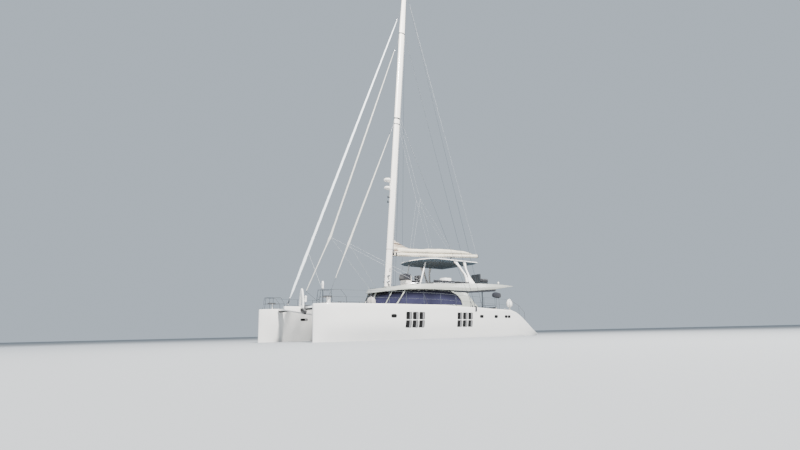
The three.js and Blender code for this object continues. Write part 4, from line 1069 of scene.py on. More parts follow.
# The last window goes on along the side, where its aft edge curves up from the sill to the head
SIDE_AFT = [(-2.69, SILL), (-2.64, 2.77), (-2.54, 2.94), (-2.39, 3.1), (-2.17, 3.26), (-1.8, 3.39),
            (-1.65, HEAD)]


def front_line(start, end, z):
    """Points just inside the front at a height, between two angles of at most 90 degrees."""
    start, end = min(start, 90), min(end, 90)
    return [front_point(start + (end - start) * i / 12, z, -0.012) for i in range(13)]


gaskets = Form()
for low_start, low_end, high_start, high_end in FRONT_WINDOWS:
    aft = [side_point(x, z, -0.012) for x, z in SIDE_AFT] if low_end > 90 else []
    outline = front_line(low_start, low_end, SILL) + aft + front_line(high_end, high_start, HEAD)
    gaskets.tube(outline, 0.011, 6, closed=True)
gaskets.mirrored().place("saloon_gaskets", black_rubber, "dark_metal")
print("gaskets on each side:", len(FRONT_WINDOWS))

# %% [markdown]
# The long side window is made of two panes. The joint between them is a thin black strip that leans
# with the window. Above all the windows, a dark band of glazing fills the gap up to the roof: painted
# shade under the roof's overhang.

# %% Joints and the band of painted shade under the roof
GLASS_FACE = -0.0603
JOINT_FOOT, JOINT_HEAD = 71.4, 65.5  # degrees round the front at the joint's lower and upper end


def glass_point(degrees, z, out):
    """A point on the flat facets of the glass band, which turn every ten degrees."""
    first = 10 * math.floor(degrees / 10)
    return front_point(first, z, out).lerp(front_point(first + 10, z, out), (degrees - first) / 10)


def wall_line(z, out):
    """The wall's outline at a height, from the middle of the front aft along the port side."""
    front = [front_point(90 * i / 30, z, out) for i in range(31)]
    return front + [side_point(x, z, out) for x in (-1.1, -1.7, -2.4, -3.1)]


joints = Form()
rings = []
for i in range(13):
    z = SILL - 0.03 + (HEAD - SILL + 0.045) * i / 12
    middle = JOINT_FOOT + (JOINT_HEAD - JOINT_FOOT) * i / 12
    rings.append([glass_point(middle + turn, z, GLASS_FACE + out)
                  for turn, out in ((-0.2, 0.004), (0.2, 0.004), (0.2, -0.004), (-0.2, -0.004))])
joints.loft(rings)
joints.mirrored().place("saloon_glass_joints", black_rubber, "dark_metal", sharp=60)

roof_shade_band = Form()
roof_shade_band.loft([wall_line(z, 0.003) + wall_line(z, -0.01)[::-1] for z in (3.485, 3.52, 3.555, 3.59)])
saloon_roof_shade = roof_shade_band.mirrored().place("saloon_roof_shade", saloon_tint, "tinted_glass")
print("headers:", len(saloon_roof_shade.data.polygons), "faces")

# %% [markdown]
# The roof is not bare: a stainless handrail runs along each side, and beside the mast's foot lies a low
# row of turning blocks that lead its lines aft. The rails are bent tubes on short posts, and their route
# follows the roof's curved edge.

# %% Roof rails and turning blocks
# Columns: x, height of the roof's upper side
ROOF_TOP = [(3.1, 3.6), (2.84, 3.71), (2.4, 3.86), (2.0, 3.9), (1.0, 3.96), (-0.6, 4.02), (-2.25, 4.1),
            (-4.0, 4.19), (-6.2, 4.25), (-7.8, 4.26), (-9.26, 4.21)]


def roof_at(x):
    return along_table(ROOF_TOP, x)


def roof_edge(share, inset):
    """A point on the flybridge's upper edge, from the bow (0) to the straight side (1), moved inwards."""
    a = share * math.pi / 2
    x = SALOON_MIDDLE + (3.56 - inset) * math.cos(a)
    return Vector((x, (3.22 - inset) * math.sin(a), roof_at(x)))


brow_rails = Form()
route = [roof_edge(0.42 + 0.58 * i / 8, 0.22) for i in range(9)]
route += [Vector((x, 3.0, roof_at(x))) for x in (-1.2, -2.4)]
lifted = [p + Vector((0, 0, 0.1)) for p in route]
brow_rails.tube([route[0]] + lifted + [route[-1]], 0.014, 8)
for foot, top in list(zip(route, lifted))[2::2]:
    brow_rails.tube([foot - Vector((0, 0, 0.02)), top], 0.011, 8)
    brow_rails.turned([(0.035, 0), (0.035, 0.008), (0.014, 0.02)], foot, sides=12)
brow_rails.mirrored().place("roof_handrails", steel, "stainless")
organisers = Form()
ORGANISER = Vector((1.76, 0.67, roof_at(1.76)))
SHEAVES = 4
for low, high in ((-0.005, 0.012), (0.044, 0.054)):
    organisers.block(ORGANISER + Vector((-0.16, -0.06, low)), ORGANISER + Vector((0.16, 0.06, high)))
for i in range(SHEAVES):
    organisers.turned([(0.033, 0.01), (0.026, 0.028), (0.033, 0.046)],
                      ORGANISER + Vector((-0.115 + 0.077 * i, 0, 0)), sides=16)
organisers.mirrored().place("deck_organisers", powder_coat, "dark_metal", bevel=0.001)
print("points of the rail's route:", len(route), "turning blocks on each side:", SHEAVES)

# %% [markdown]
# The ceiling under the hardtop is a dark bluish lining with small lamps that runs out to the rim. Its
# colour is painted shade, for the underside lies in shade and looks deep grey from below. On top lie four
# panels of solar cells and a sliding hatch. They are shallow raised plates.

# %% Hardtop: lining of painted shade, lamps and top panels
def hardtop_outline(inset, steps=16):
    port = [(-6.3 + inset, 2.15 - inset)]
    for i in range(steps + 1):
        a = i * math.pi / 2 / steps
        port.append((-1.6 + (1.06 - inset) * math.sin(a), (2.15 - inset) * math.cos(a)))
    return port + [(x, -y) for x, y in port[-2::-1]]


# Painted shade: the lining's dark bluish colour stands for the shade on the hardtop's underside.
painted_shade_lining = Finish("hardtop_shade_lining", (0.075, 0.12, 0.165), 0.8)
painted_shade_lining.tint(painted_shade_lining.noise(3.0, 4.0), 0.85, 1.1).bump(painted_shade_lining.cells(160), 0.0006, 0.4)
shade_sheet = Form()
shade_sheet_rows = ((0.03, 6.122), (0.018, 6.11), (0.262, 5.986), (0.4, 5.98))
shade_sheet.loft([[(x, y, z) for x, y in hardtop_outline(inset)] for inset, z in shade_sheet_rows])
shade_sheet.place("hardtop_shade_lining", painted_shade_lining, "sail_cover", sharp=60)
lamps = Form()
for x in (-5.4, -4.2, -3.0, -1.8):
    for y in (-1.1, 1.1):
        lamps.turned([(0.055, 0), (0.055, 0.008), (0.035, 0.012)], (x, y, 5.983), (0, 0, -1), 16)
lamps.place("hardtop_lamps", steel, "stainless")
cells = Form()
for x0, x1 in ((-5.9, -4.5), (-2.6, -1.3)):
    for y0, y1 in ((-1.75, -0.15), (0.15, 1.75)):
        flat_panel(cells, rounded(x0, x1, y0, y1, 0.04), 6.2, 0.006)
solar = Finish("solar_cells", (0.012, 0.016, 0.04), 0.25, coat=0.5)
along, beside = (solar.ramp(solar.bands(3.2, direction), 0, 1, 0, 0.02) for direction in "XY")
solar.tint(solar.product(along, beside), 6.0, 1.0)
cells.place("hardtop_solar_panels", solar, "tinted_glass")
ROOF_HATCH = (-4.35, -2.75, -0.9, 0.9)
slider = Form()
slider.loft([framed(*ROOF_HATCH, 0.12, 6.19), framed(*ROOF_HATCH, 0.12, 6.225),
             framed(*ROOF_HATCH, 0.1, 6.24, inset=0.04)])
slider.place("hardtop_slider", hull_white, "gelcoat")
print("hardtop outline:", len(hardtop_outline(0)), "points")

# %% [markdown]
# ### The helm
#
# The white console carries a sloping instrument panel with three dark screens, throttle levers and a
# row of switches. A navy canvas cover hangs over its top, which is the dark shape that shows in the
# picture. The wheel keeps its solid, and gets a stitched leather grip round its rim that turns with it.

# %% Helm console, screens and wheel grip
HELM_Y = 0.4
helm_low, helm_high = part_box("helm_console")
screens = Form()
tilt_low, tilt_high = Vector((0.1, 0, 4.76)), Vector((0.25, 0, 4.92))
slope = (tilt_high - tilt_low).normalized()
outward = Vector((-slope.z, 0, slope.x))
for y0, y1 in ((0.06, 0.3), (0.32, 0.5), (0.52, 0.74)):
    corners = [(0.03, y0), (0.17, y0), (0.17, y1), (0.03, y1)]
    screens.loft([[tilt_low + slope * s + outward * h + Vector((0, y, 0)) for s, y in corners]
                  for h in (-0.005, 0.012)])
screens.place("helm_screens", hull_tint, "tinted_glass", bevel=0.004)
switches = Form()
for i in range(8):
    switches.turned([(0.012, 0), (0.012, 0.018), (0.009, 0.022)], (0.1, 0.08 + 0.09 * i, 4.7), (-1, 0, 0), 10)
for y in (0.62, 0.68):
    switches.tube([(0.1, y, 4.62), (0.03, y, 4.64), (-0.02, y, 4.72)], [0.012, 0.01, 0.016], 8)
switches.place("helm_switches", powder_coat, "dark_metal")
COVER_LOW, COVER_TOP = 4.47, 4.905
cover = Form()
rings = []
for i in range(9):
    x = 0.2 + 0.5 * i / 8
    lift = 0.10 * math.sin(math.pi * (i + 0.5) / 9) ** 0.5
    ring = []
    for k in range(13):
        a = math.pi * k / 12
        ripple = 0.012 * math.sin(5 * a + 1.7 * i)
        hem = k in (0, 12)
        z = COVER_LOW if hem else COVER_TOP + (lift + ripple) * math.sin(a) ** 0.6
        ring.append((x, HELM_Y + (0.43 + ripple) * math.cos(a), z))
    rings.append(ring)
cover.loft(rings)
helm_cover = cover.place("helm_cover", canvas_navy, "cushion", sharp=80)

WHEEL_X, WHEEL_Z, RIM_RADIUS = 0.0397, 4.55, 0.36
leather = Finish("wheel_leather", (0.02, 0.02, 0.022), 0.55)
leather.tint(leather.noise(30, 4.0), 0.7, 1.5).bump(leather.cells(380), 0.0006, 0.4)
rim = Form()
rim.tube([(WHEEL_X, HELM_Y + RIM_RADIUS * math.cos(a), WHEEL_Z + RIM_RADIUS * math.sin(a))
          for a in circle(48)], 0.0225, 12, closed=True)
rim.place("helm_wheel_grip", leather, "dark_metal", body="helm_wheel")
print("helm from", [round(v, 2) for v in helm_low], "to", [round(v, 2) for v in helm_high])

# %% [markdown]
# ### Cockpit and saloon fittings
#
# The door needs its frame, with the rail over it, and a handle. The frame belongs to the boat and the
# handle slides with the door, so they ride on different bodies. Bent handrails stand beside the stair.

# %% Door frame, handle and cockpit details
door_frame = Form()
for y in (-0.69, 0.69):
    door_frame.block((-3.606, y - 0.035, 1.61), (-3.602, y + 0.035, 3.5))
door_frame.block((-3.606, -0.72, 3.505), (-3.6, 1.95, 3.535))
door_frame.place("door_frame", powder_coat, "dark_metal", bevel=0.001)
handle = Form()
grasp = [(-3.652, 2.45), (-3.7, 2.48), (-3.7, 2.82), (-3.652, 2.85)]
handle.tube([(x, -0.55, z) for x, z in grasp], 0.011, 10)
handle.place("door_handle", steel, "stainless", body="saloon_door")
stair_rails = Form()
for y in (-3.02, -2.43):
    stair_rails.tube([(-7.1, y, 2.1), (-7.1, y, 3.0), (-6.15, y, 4.75), (-5.95, y, 4.8), (-5.95, y, 3.86)],
                     0.017, 10)
stair_handrails = stair_rails.place("stair_handrails", steel, "stainless")
print("stair handrails:", len(stair_handrails.data.polygons), "faces")

# %% [markdown]
# ## The rig
#
# The mast is a painted oval tube that leans aft. A dark track for the sail's slides runs up its aft side,
# tangs carry the stays, and lines come out of it near the deck. A point on the mast's axis comes from
# its height, because the rake is constant.

# %% Mast track, tangs, winches and fittings
MAST_RAKE, MAST_TOP = 0.0945, 31.8


def mast_x(z):
    return 1.92 - MAST_RAKE * (z - 3.85)


def mast_half(z):
    """Half the mast's length fore and aft, and half its width, at a height."""
    taper = 1 if z <= 27 else 1 - 0.38 * (z - 27) / 4.8
    return 0.29 * taper, 0.165 * taper


track = Form()
rings = []
for i in range(61):
    z = 6.9 + (31.4 - 6.9) * i / 60
    aft = mast_x(z) - mast_half(z)[0]
    rings.append([(aft + 0.012, 0.02, z), (aft - 0.016, 0.02, z), (aft - 0.016, -0.02, z),
                  (aft + 0.012, -0.02, z)])
track.loft(rings)
track.place("mast_track", powder_coat, "dark_metal", sharp=20)


def mast_shell(form, z0, z1, out):
    """A band round the mast, such as a collar or a tang plate."""
    rings = []
    for z, grow in ((z0, 0), (z0, out), (z1, out), (z1, 0)):
        half_x, half_y = mast_half(z)
        rings.append([(mast_x(z) + (half_x + grow) * math.cos(a), (half_y + grow) * math.sin(a), z)
                      for a in circle(28)])
    form.loft(rings)


bands = Form()
for z, high in ((18.1, 0.12), (26.4, 0.12), (30.9, 0.1), (17.6, 0.08), (6.86, 0.03)):
    mast_shell(bands, z, z + high, 0.006)
mast_shell(bands, 3.87, 3.945, 0.012)
bands.place("mast_bands", powder_coat, "dark_metal")
# Columns: radius, distance out from the mast
WINCH = [(0.085, -0.03), (0.085, 0.03), (0.06, 0.05), (0.052, 0.11), (0.07, 0.15), (0.07, 0.17),
         (0.03, 0.18)]
gear = Form()
for z in (4.75, 4.32):
    for side in (1, -1):
        gear.turned(WINCH, (mast_x(z) + 0.13, side * 0.17, z), (0, side, 0.08), 20)
for z in (4.02, 4.1, 5.15, 5.3):
    gear.block((mast_x(z) - 0.06, 0.155, z - 0.02), (mast_x(z) + 0.06, 0.2, z + 0.03))
gear.place("mast_winches", steel, "stainless", bevel=0.003)
front_lamps = Form()
for z in (11.15, 10.75):
    front = mast_x(z) + 0.29
    front_lamps.block((front - 0.03, -0.03, z - 0.03), (front + 0.12, 0.03, z + 0.02))
    front_lamps.turned([(0.045, -0.1), (0.06, -0.06), (0.06, 0.05), (0.045, 0.09)], (front + 0.16, 0, z),
                       sides=16)
front_lamps.place("mast_lamps", powder_coat, "dark_metal", bevel=0.004)
masthead = Form()
top = mast_x(MAST_TOP)
masthead.block((top - 0.3, -0.05, MAST_TOP), (top + 0.2, 0.05, MAST_TOP + 0.03))
masthead.turned([(0.035, 0), (0.035, 0.09), (0.01, 0.11)], (top - 0.05, 0.03, MAST_TOP + 0.03), sides=14)
masthead.tube([(top - 0.24, 0, MAST_TOP + 0.02), (top - 0.24, 0, MAST_TOP + 0.5)], 0.006, 8)
masthead.tube([(top + 0.18, 0, MAST_TOP + 0.02), (top + 0.5, 0, MAST_TOP + 0.18)], 0.006, 8)
masthead.tube([(top + 0.5, 0, MAST_TOP + 0.1), (top + 0.5, 0, MAST_TOP + 0.28)], 0.005, 8)
masthead.place("masthead_fittings", powder_coat, "dark_metal", bevel=0.003)
print("mast at its foot", round(mast_x(3.88), 3), "and head", round(top, 3))

# %% [markdown]
# ### Furled headsails
#
# A furled sail is wound round its stay like a carpet on a pole, so its edge climbs in a long spiral. The
# roll could be wound from a sheet, but at this length a lofted tube whose radius steps up and falls
# back once a turn shows the same edge with far fewer faces. Each stands on a drum and hangs from a swivel.
# A roll is thickest at the sail's clew, the corner where its sheets pull. On the middle one they pull so
# hard that the stay bends there.

# %% Stays and rolls in tables
SPRIT_TOP = 2.3103
# The corners (x, z) of each stay from its foot up to the mast, where x is counted from the mast's axis
STAYS = {
    "genoa": [(10.44, SPRIT_TOP), (0.1, 29.4)],
    "solent": [(9.1, SPRIT_TOP), (9.02, 3.35), (7.1, 7.35), (0.29, 26.06)],
    "staysail": [(7.55, SPRIT_TOP), (0.26, 17.77)],
}
# Columns: distance along the stay, radius of the roll there
ROLLS = {
    "genoa": [(0.6, 0.02), (1.1, 0.074), (3.25, 0.101), (3.4, 0.106), (3.8, 0.1), (4.5, 0.092),
              (13.95, 0.085), (25.8, 0.048), (27.3, 0.02)],
    "solent": [(1.06, 0.02), (1.4, 0.03), (4.0, 0.036), (4.9, 0.05), (5.25, 0.096), (5.6, 0.088),
               (6.5, 0.063), (15.4, 0.057), (22.2, 0.032), (23.7, 0.02)],
    "staysail": [(2.24, 0.02), (2.9, 0.03), (3.9, 0.042), (4.6, 0.058), (4.95, 0.086), (5.3, 0.09),
                 (5.8, 0.072), (9.4, 0.064), (14.0, 0.037), (15.5, 0.02)],
}
WIND = 1.15  # how far along the stay the sail's edge climbs in one turn
# Columns: radius, distance along the stay
PLAIN_FOOT = [(0.035, 0), (0.035, 0.05), (0.02, 0.08), (0.02, 0.31), (0.013, 0.33)]
DRUM_FOOT = [(0.03, 0), (0.03, 0.12), (0.05, 0.14), (0.105, 0.16), (0.105, 0.18), (0.062, 0.2), (0.062, 0.3),
             (0.105, 0.32), (0.105, 0.34), (0.04, 0.38), (0.032, 0.55), (0.017, 0.6)]
WHITE_DRUM = [(0.018, 0.3), (0.06, 0.32), (0.1, 0.34), (0.104, 0.37), (0.084, 0.39), (0.084, 0.63),
              (0.104, 0.65), (0.1, 0.68), (0.05, 0.71), (0.018, 0.75)]
SAILS = {"genoa": sail_white, "solent": sail_grey, "staysail": sail_grey}


def stay_corners(name):
    corners = [Vector((x, 0, z)) for x, z in STAYS[name]]
    corners[-1].x += mast_x(corners[-1].z)
    return corners


def stay_point(corners, s):
    """Where a stay is at a distance from its foot, and its direction there."""
    for a, b in zip(corners, corners[1:]):
        leg = (b - a).length
        if s <= leg or b is corners[-1]:
            return a.lerp(b, s / leg), (b - a) / leg
        s -= leg


def stay_at(name, z):
    """The point of a stay at a height."""
    for a, b in zip(stay_corners(name), stay_corners(name)[1:]):
        if z <= b.z:
            return a.lerp(b, (z - a.z) / (b.z - a.z))


print("lengths of the rolls:", {name: round(rows[-1][0] - rows[0][0], 1) for name, rows in ROLLS.items()})

# %% [markdown]
# Each roll is lofted from rings that follow its table, and each stay is a thin tube between its corners. One
# stay has a plain foot, with a white drum over it.

# %% Rolls, stays and drums
for name, sail in SAILS.items():
    corners, table = stay_corners(name), ROLLS[name]
    start, end = table[0][0], table[-1][0]
    roll = Form()
    rings = []
    steps = int((end - start) / 0.075)
    for i in range(steps + 1):
        s = start + (end - start) * i / steps
        size = along_table(table, s)
        centre, along = stay_point(corners, s)
        across = along.cross(Vector((0, 1, 0))).normalized()
        beside = along.cross(across)
        ring = []
        for a in circle(18):
            wind = (a / (2 * math.pi) + s / WIND) % 1.0
            r = size * (0.93 + 0.12 * wind + 0.02 * math.sin(7 * s + 3 * a))
            ring.append(centre + r * (math.cos(a) * across + math.sin(a) * beside))
        rings.append(ring)
    roll.loft(rings)
    sail_roll = roll.place(f"{name}_roll", sail, "sailcloth", sharp=50)
    metal = Form()
    foot, upward = stay_point(corners, 0)
    if name == "solent":
        metal.turned(PLAIN_FOOT, foot, upward, 16)
    else:
        metal.turned(DRUM_FOOT, foot, upward, 20)
    metal.tube([foot + upward * 0.05] + corners[1:], 0.013, 8)
    swivel, tilt = stay_point(corners, end + 0.05)
    metal.turned([(0.014, 0), (0.034, 0.03), (0.034, 0.2), (0.014, 0.24)], swivel, tilt, 16)
    stay = metal.place(f"{name}_stay", steel, "stainless")
    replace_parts(stay, f"{name}_furled")
    print(name, "roll of", len(sail_roll.data.polygons), "faces")
drum = Form()
foot, upward = stay_point(stay_corners("solent"), 0)
drum.turned(WHITE_DRUM, foot, upward, 24)
drum.place("solent_drum", hull_white, "gelcoat")

# %% [markdown]
# ### Shrouds
#
# Three wires on each side hold the mast sideways. At the deck each ends in a turnbuckle, a threaded barrel
# that sets its tension, on a plate bolted through the deck.

# %% Wires with turnbuckles and chainplates
# Columns: name, x and y of the foot, height on the mast
SHROUDS = [("lower", -2.45, 4.7, 18.65), ("intermediate", -2.7, 4.72, 27.08), ("cap", -3.55, 4.7, 31.45)]
# Columns: radius of the turnbuckle, distance along the wire
TURNBUCKLE = [(0.012, 0.0), (0.019, 0.03), (0.019, 0.1), (0.024, 0.12), (0.024, 0.42), (0.019, 0.44),
              (0.019, 0.52), (0.012, 0.58)]
for name, x, y, high in SHROUDS:
    for end, side in zip(both, (1, -1)):
        foot_z = deck_at(x)
        foot = Vector((x + 0.01, side * (y + 0.005), foot_z + 0.1))
        aim = Vector((mast_x(high) - 0.06, side * 0.045, high))
        along = (aim - foot).normalized()
        reach = (aim - foot).length * (1 - mast_half(high)[1] * 0.85 / (y + 0.005))
        wire = Form()
        wire.tube([foot + along * 0.05, foot + along * reach], 0.0105, 8)
        wire.turned(TURNBUCKLE, foot + along * 0.02, along, 14)
        wire.block((x - 0.07, side * y - 0.008, foot_z - 0.02), (x + 0.07, side * y + 0.008, foot_z + 0.13))
        wire.block((x - 0.1, side * y - 0.05, foot_z - 0.004), (x + 0.1, side * y + 0.05, foot_z + 0.008))
        shroud = wire.place(f"shroud_wire_{name}_{end}", steel, "stainless", sharp=30)
        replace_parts(shroud, f"shroud_{name}_{end}")
print("shrouds:", 2 * len(SHROUDS))

# %% [markdown]
# ### The stowed mainsail
#
# The mainsail lies in folds inside a long canvas bag on the boom, the bag's lips are laced over it, and at
# the mast the folds climb out of the bag to the sail's first slides. The bag is a loft whose sections
# bulge and sag between the bands that hold it; the folds are separate layers that bend up the mast.

# %% Bag and folds on the boom
def boom_low(x):
    """The height of the boom's underside, which slopes."""
    return 6.4 + 0.063 * (1.0 - x)


# Columns: x, half width, height of the top
BAG = [
    (0.93, 0.06, 7.05), (0.75, 0.14, 7.1), (0.2, 0.2, 7.12), (-0.8, 0.225, 7.13), (-2.4, 0.232, 7.27),
    (-3.9, 0.232, 7.41), (-5.2, 0.225, 7.46), (-6.4, 0.212, 7.47), (-7.3, 0.178, 7.43), (-8.3, 0.088, 7.23),
]
bag = Form()
rings = []
for i in range(141):
    x = 0.93 - 9.23 * i / 140
    half, top = fair(BAG, x, 1), fair(BAG, x, 2)
    low = boom_low(x) + 0.3
    tied = 0.5 + 0.5 * math.cos(2 * math.pi * (x + 0.3) / 1.45)
    ring = []
    for k in range(25):
        t = k / 24
        a = math.pi * t
        bulge = 1 + 0.05 * (1 - tied) * math.sin(a) + 0.035 * noise.noise(Vector((2.2 * x, 4 * t, 0.7)))
        from_edge = min(k, 24 - k)
        foot_share = (0.68, 0.9, 0.98)[from_edge] if from_edge < 3 else 1.0
        y = half * bulge * foot_share * math.copysign(abs(math.cos(a)) ** 0.55, math.cos(a))
        z = low + (top - low) * (abs(math.sin(a)) ** 0.75 if 0 < k < 24 else 0)
        z -= 0.018 * tied * math.sin(a) + 0.012 * noise.noise(Vector((3.1 * x, 7 * t, 2.3)))
        ring.append((x, y, max(z, low + 0.0015) if 0 < k < 24 else low + 0.0015))
    rings.append(ring)
bag.loft(rings)
main_bag = bag.place("mainsail_bag", boom_canvas, "sail_cover", body="boom", sharp=75)
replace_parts(main_bag, "mainsail_cover")
GOOSENECK = (1.2639, 0, 6.56)
boot = Form()
boot.turned([(0.064, -0.14), (0.085, -0.11), (0.09, 0), (0.085, 0.11), (0.064, 0.14)], GOOSENECK,
            (-MAST_RAKE, 0, 1), 20)
boot.place("gooseneck_boot", black_rubber, "dark_metal", body="boom")
print("bag:", len(main_bag.data.polygons), "faces")

# %% [markdown]
# The folds are nine layers. The lower ones end inside the bag. Each of the others reaches aft until the
# heap's top line has come down to its height, so together they make a slope from the mast to the bag.

# %% Folds, lacing and the boom's end caps
BAG_LIP = 7.15
HEAP = [(-0.4, BAG_LIP), (0.12, 7.33), (0.75, 7.57), (1.25, 7.70)]  # x and height of the folds' top line


def fold_end(at_mast):
    """How far aft a fold reaches, from its height at the mast."""
    if at_mast < BAG_LIP:
        return -0.35
    return next(x / 100 for x in range(-40, 126) if along_table(HEAP, x / 100) >= at_mast)


# Two fold layers are dark brown: painted shadow between the folds.
for shade, layers in ((sail_tan, (0, 2, 4, 5, 7, 8)), (fold_shadow_brown, (1, 6)), (boom_canvas, (3,))):
    folds = Form()
    for layer in layers:
        at_mast = 6.80 + 0.105 * layer
        aft = fold_end(at_mast)
        drop = 0.0 if at_mast < BAG_LIP else 0.03
        rings = []
        for i in range(15):
            t = i / 14
            x = 1.21 + (aft - 1.21) * t
            middle_z = min(at_mast - drop * t - 0.05, along_table(HEAP, x) - 0.05)
            wide = (0.032 + 0.1 * min(1, 4 * t)) * (1.1 - 0.05 * layer) * (1 - 0.25 * t)
            wide *= 1 + 0.1 * math.sin(2.4 * layer + 7 * t) * min(1, 4 * t)
            thick = 0.056 * (1 - 0.5 * t**3)
            ring = []
            for a in circle(12):
                y = wide * math.cos(a) + 0.012 * math.sin(5 * t) * math.cos(layer)
                crumple = 0.01 * noise.noise(Vector((6 * x, 3 * a, layer)))
                ring.append((x, y, middle_z + thick * math.sin(a) + crumple))
            rings.append(ring)
        folds.loft(rings)
    heap = folds.place(f"mainsail_folds_{layers[0]}", shade, "sailcloth", body="boom", sharp=80)

lacing = Form()
for i in range(6):
    x = 0.05 - 1.45 * i
    half, top, low = fair(BAG, x, 1), fair(BAG, x, 2) - 0.018, boom_low(x)
    loop = []
    for a in circle(28):
        y = (half + 0.006) * math.copysign(abs(math.cos(a)) ** 0.6, math.cos(a))
        if math.sin(a) >= 0:
            z = low + 0.3 + (top - low - 0.3 + 0.006) * abs(math.sin(a)) ** 0.8
        else:
            z = low + 0.3 - 0.31 * abs(math.sin(a)) ** 0.7
        if z <= low + 0.26:
            y = math.copysign(min(abs(y), 0.158), y)
        loop.append((x, y, z))
    lacing.tube(loop, 0.007, 6, closed=True)
lacing.place("mainsail_straps", sail_tan, "sail_cover", body="boom", sharp=60)

boom_ends = Form()
cap_outline = [(0.6, 1), (1, 0.7), (1, 0.3), (0.5, 0), (-0.5, 0), (-1, 0.3), (-1, 0.7), (-0.6, 1)]
for x, share in ((1.005, 0.8), (-8.755, 0.7)):
    middle_z = boom_low(x) + 0.15
    boom_ends.loft([[(px, 0.1545 * share * wide, middle_z + 0.309 * (up - 0.5)) for wide, up in cap_outline]
                    for px in (x - 0.05, x + 0.05)])
end_caps = boom_ends.place("boom_end_caps", powder_coat, "dark_metal", body="boom", bevel=0.006)
print("boom end caps:", len(end_caps.data.polygons), "faces")

# %% [markdown]
# ### Running lines
#
# Lazy jacks hold the sail's folds over the boom, and the mainsheet holds the boom down to the hardtop. Each
# line joins the fixed boat to the swinging boom; it is given to neither body, and its place is baked into its
# mesh. They are taut, so each is straight, with many short steps.

# %% Lazy jacks, topping lift, mainsheet and halyards
def straight(a, b, steps=24):
    a, b = Vector(a), Vector(b)
    return [a.lerp(b, i / steps) for i in range(steps + 1)]


for end, side in zip(both, (1, -1)):
    split = Vector((-1.6, side * 0.24, 11.4))
    jacks = Form()
    start = Vector((mast_x(17.9) - 0.2, side * 0.13, 17.9))
    jacks.tube(straight(start, split), 0.0055, 6)
    for x in (-0.6, -3.0, -5.6):
        jacks.tube(straight(split, (x, side * 0.165, boom_low(x) + 0.2)), 0.0045, 6)
    jacks.place(f"lazy_jacks_{end}", rope_grey, "sailcloth",
                blend=("root", "boom", start, (-1.2, side * 0.2, 7.3)))
LIFT_X = -8.68
lift_top = (mast_x(31.2) - 0.17, 0, 31.2)
lift = Form()
lift.tube(straight(lift_top, (LIFT_X, 0, boom_low(LIFT_X) + 0.3), 60), 0.006, 6)
lift.place("topping_lift", rope_grey, "sailcloth", blend=("root", "boom", lift_top, (LIFT_X, 0, 7.3)))


def sheave(form, radius, centre):
    """A grooved wheel on an axle that lies athwartships."""
    form.turned([(0.03, -0.025), (radius, -0.012), (radius, 0.012), (0.03, 0.025)], centre, (0, 1, 0), 18)


SHEET_X = -5.3
boom_z = boom_low(SHEET_X)
sheet = Form()
for x, y in ((-5.15, 0.06), (-5.25, -0.02), (-5.35, -0.08), (-5.45, 0.02)):
    sheet.tube(straight((x, y * 3, 6.235), (SHEET_X, y, boom_z + 0.01), 10), 0.007, 6)
sheet.place("mainsheet_falls", rope_grey, "sailcloth",
            blend=("root", "boom", (SHEET_X, 0, 6.24), (SHEET_X, 0, 6.8)))
blocks = Form()
for y in (-0.1, 0.1):
    sheave(blocks, 0.05, (SHEET_X, y, 6.25))
blocks.block((-5.5, -0.35, 6.2), (-5.1, 0.35, 6.215))
blocks.place("mainsheet_blocks_low", powder_coat, "dark_metal", bevel=0.004)
upper = Form()
for y in (-0.055, 0.055):
    sheave(upper, 0.055, (SHEET_X, y, boom_z - 0.055))
upper.block((-5.36, -0.1, boom_z - 0.02), (-5.24, 0.1, boom_z + 0.01))
upper.place("mainsheet_blocks_high", powder_coat, "dark_metal", body="boom", bevel=0.004)
halyards = Form()
for y, top in ((0.1, 26.2), (-0.1, 26.2), (0.05, 30.6)):
    for low, high in ((4.2, 5.2), (6.9, top)):
        aft = mast_x(high) - mast_half(high)[0] - 0.02
        halyards.tube([(mast_x(low) - 0.31, y, low), (aft, y * 0.6, high)], 0.005, 6)
halyard_lines = halyards.place("halyards", rope_grey, "sailcloth")
print("halyards:", len(halyard_lines.data.polygons), "faces")

# %% [markdown] ## Cushions  A cushion is a bag under pressure: its sides pull in between the corners
# and its top crowns. Each pad starts as an evenly divided box with rounded edges, a little too small.
# Blender's Cloth then swells it with pressure and no gravity, while the points it rests on stay pinned
# so that its underside is flat.

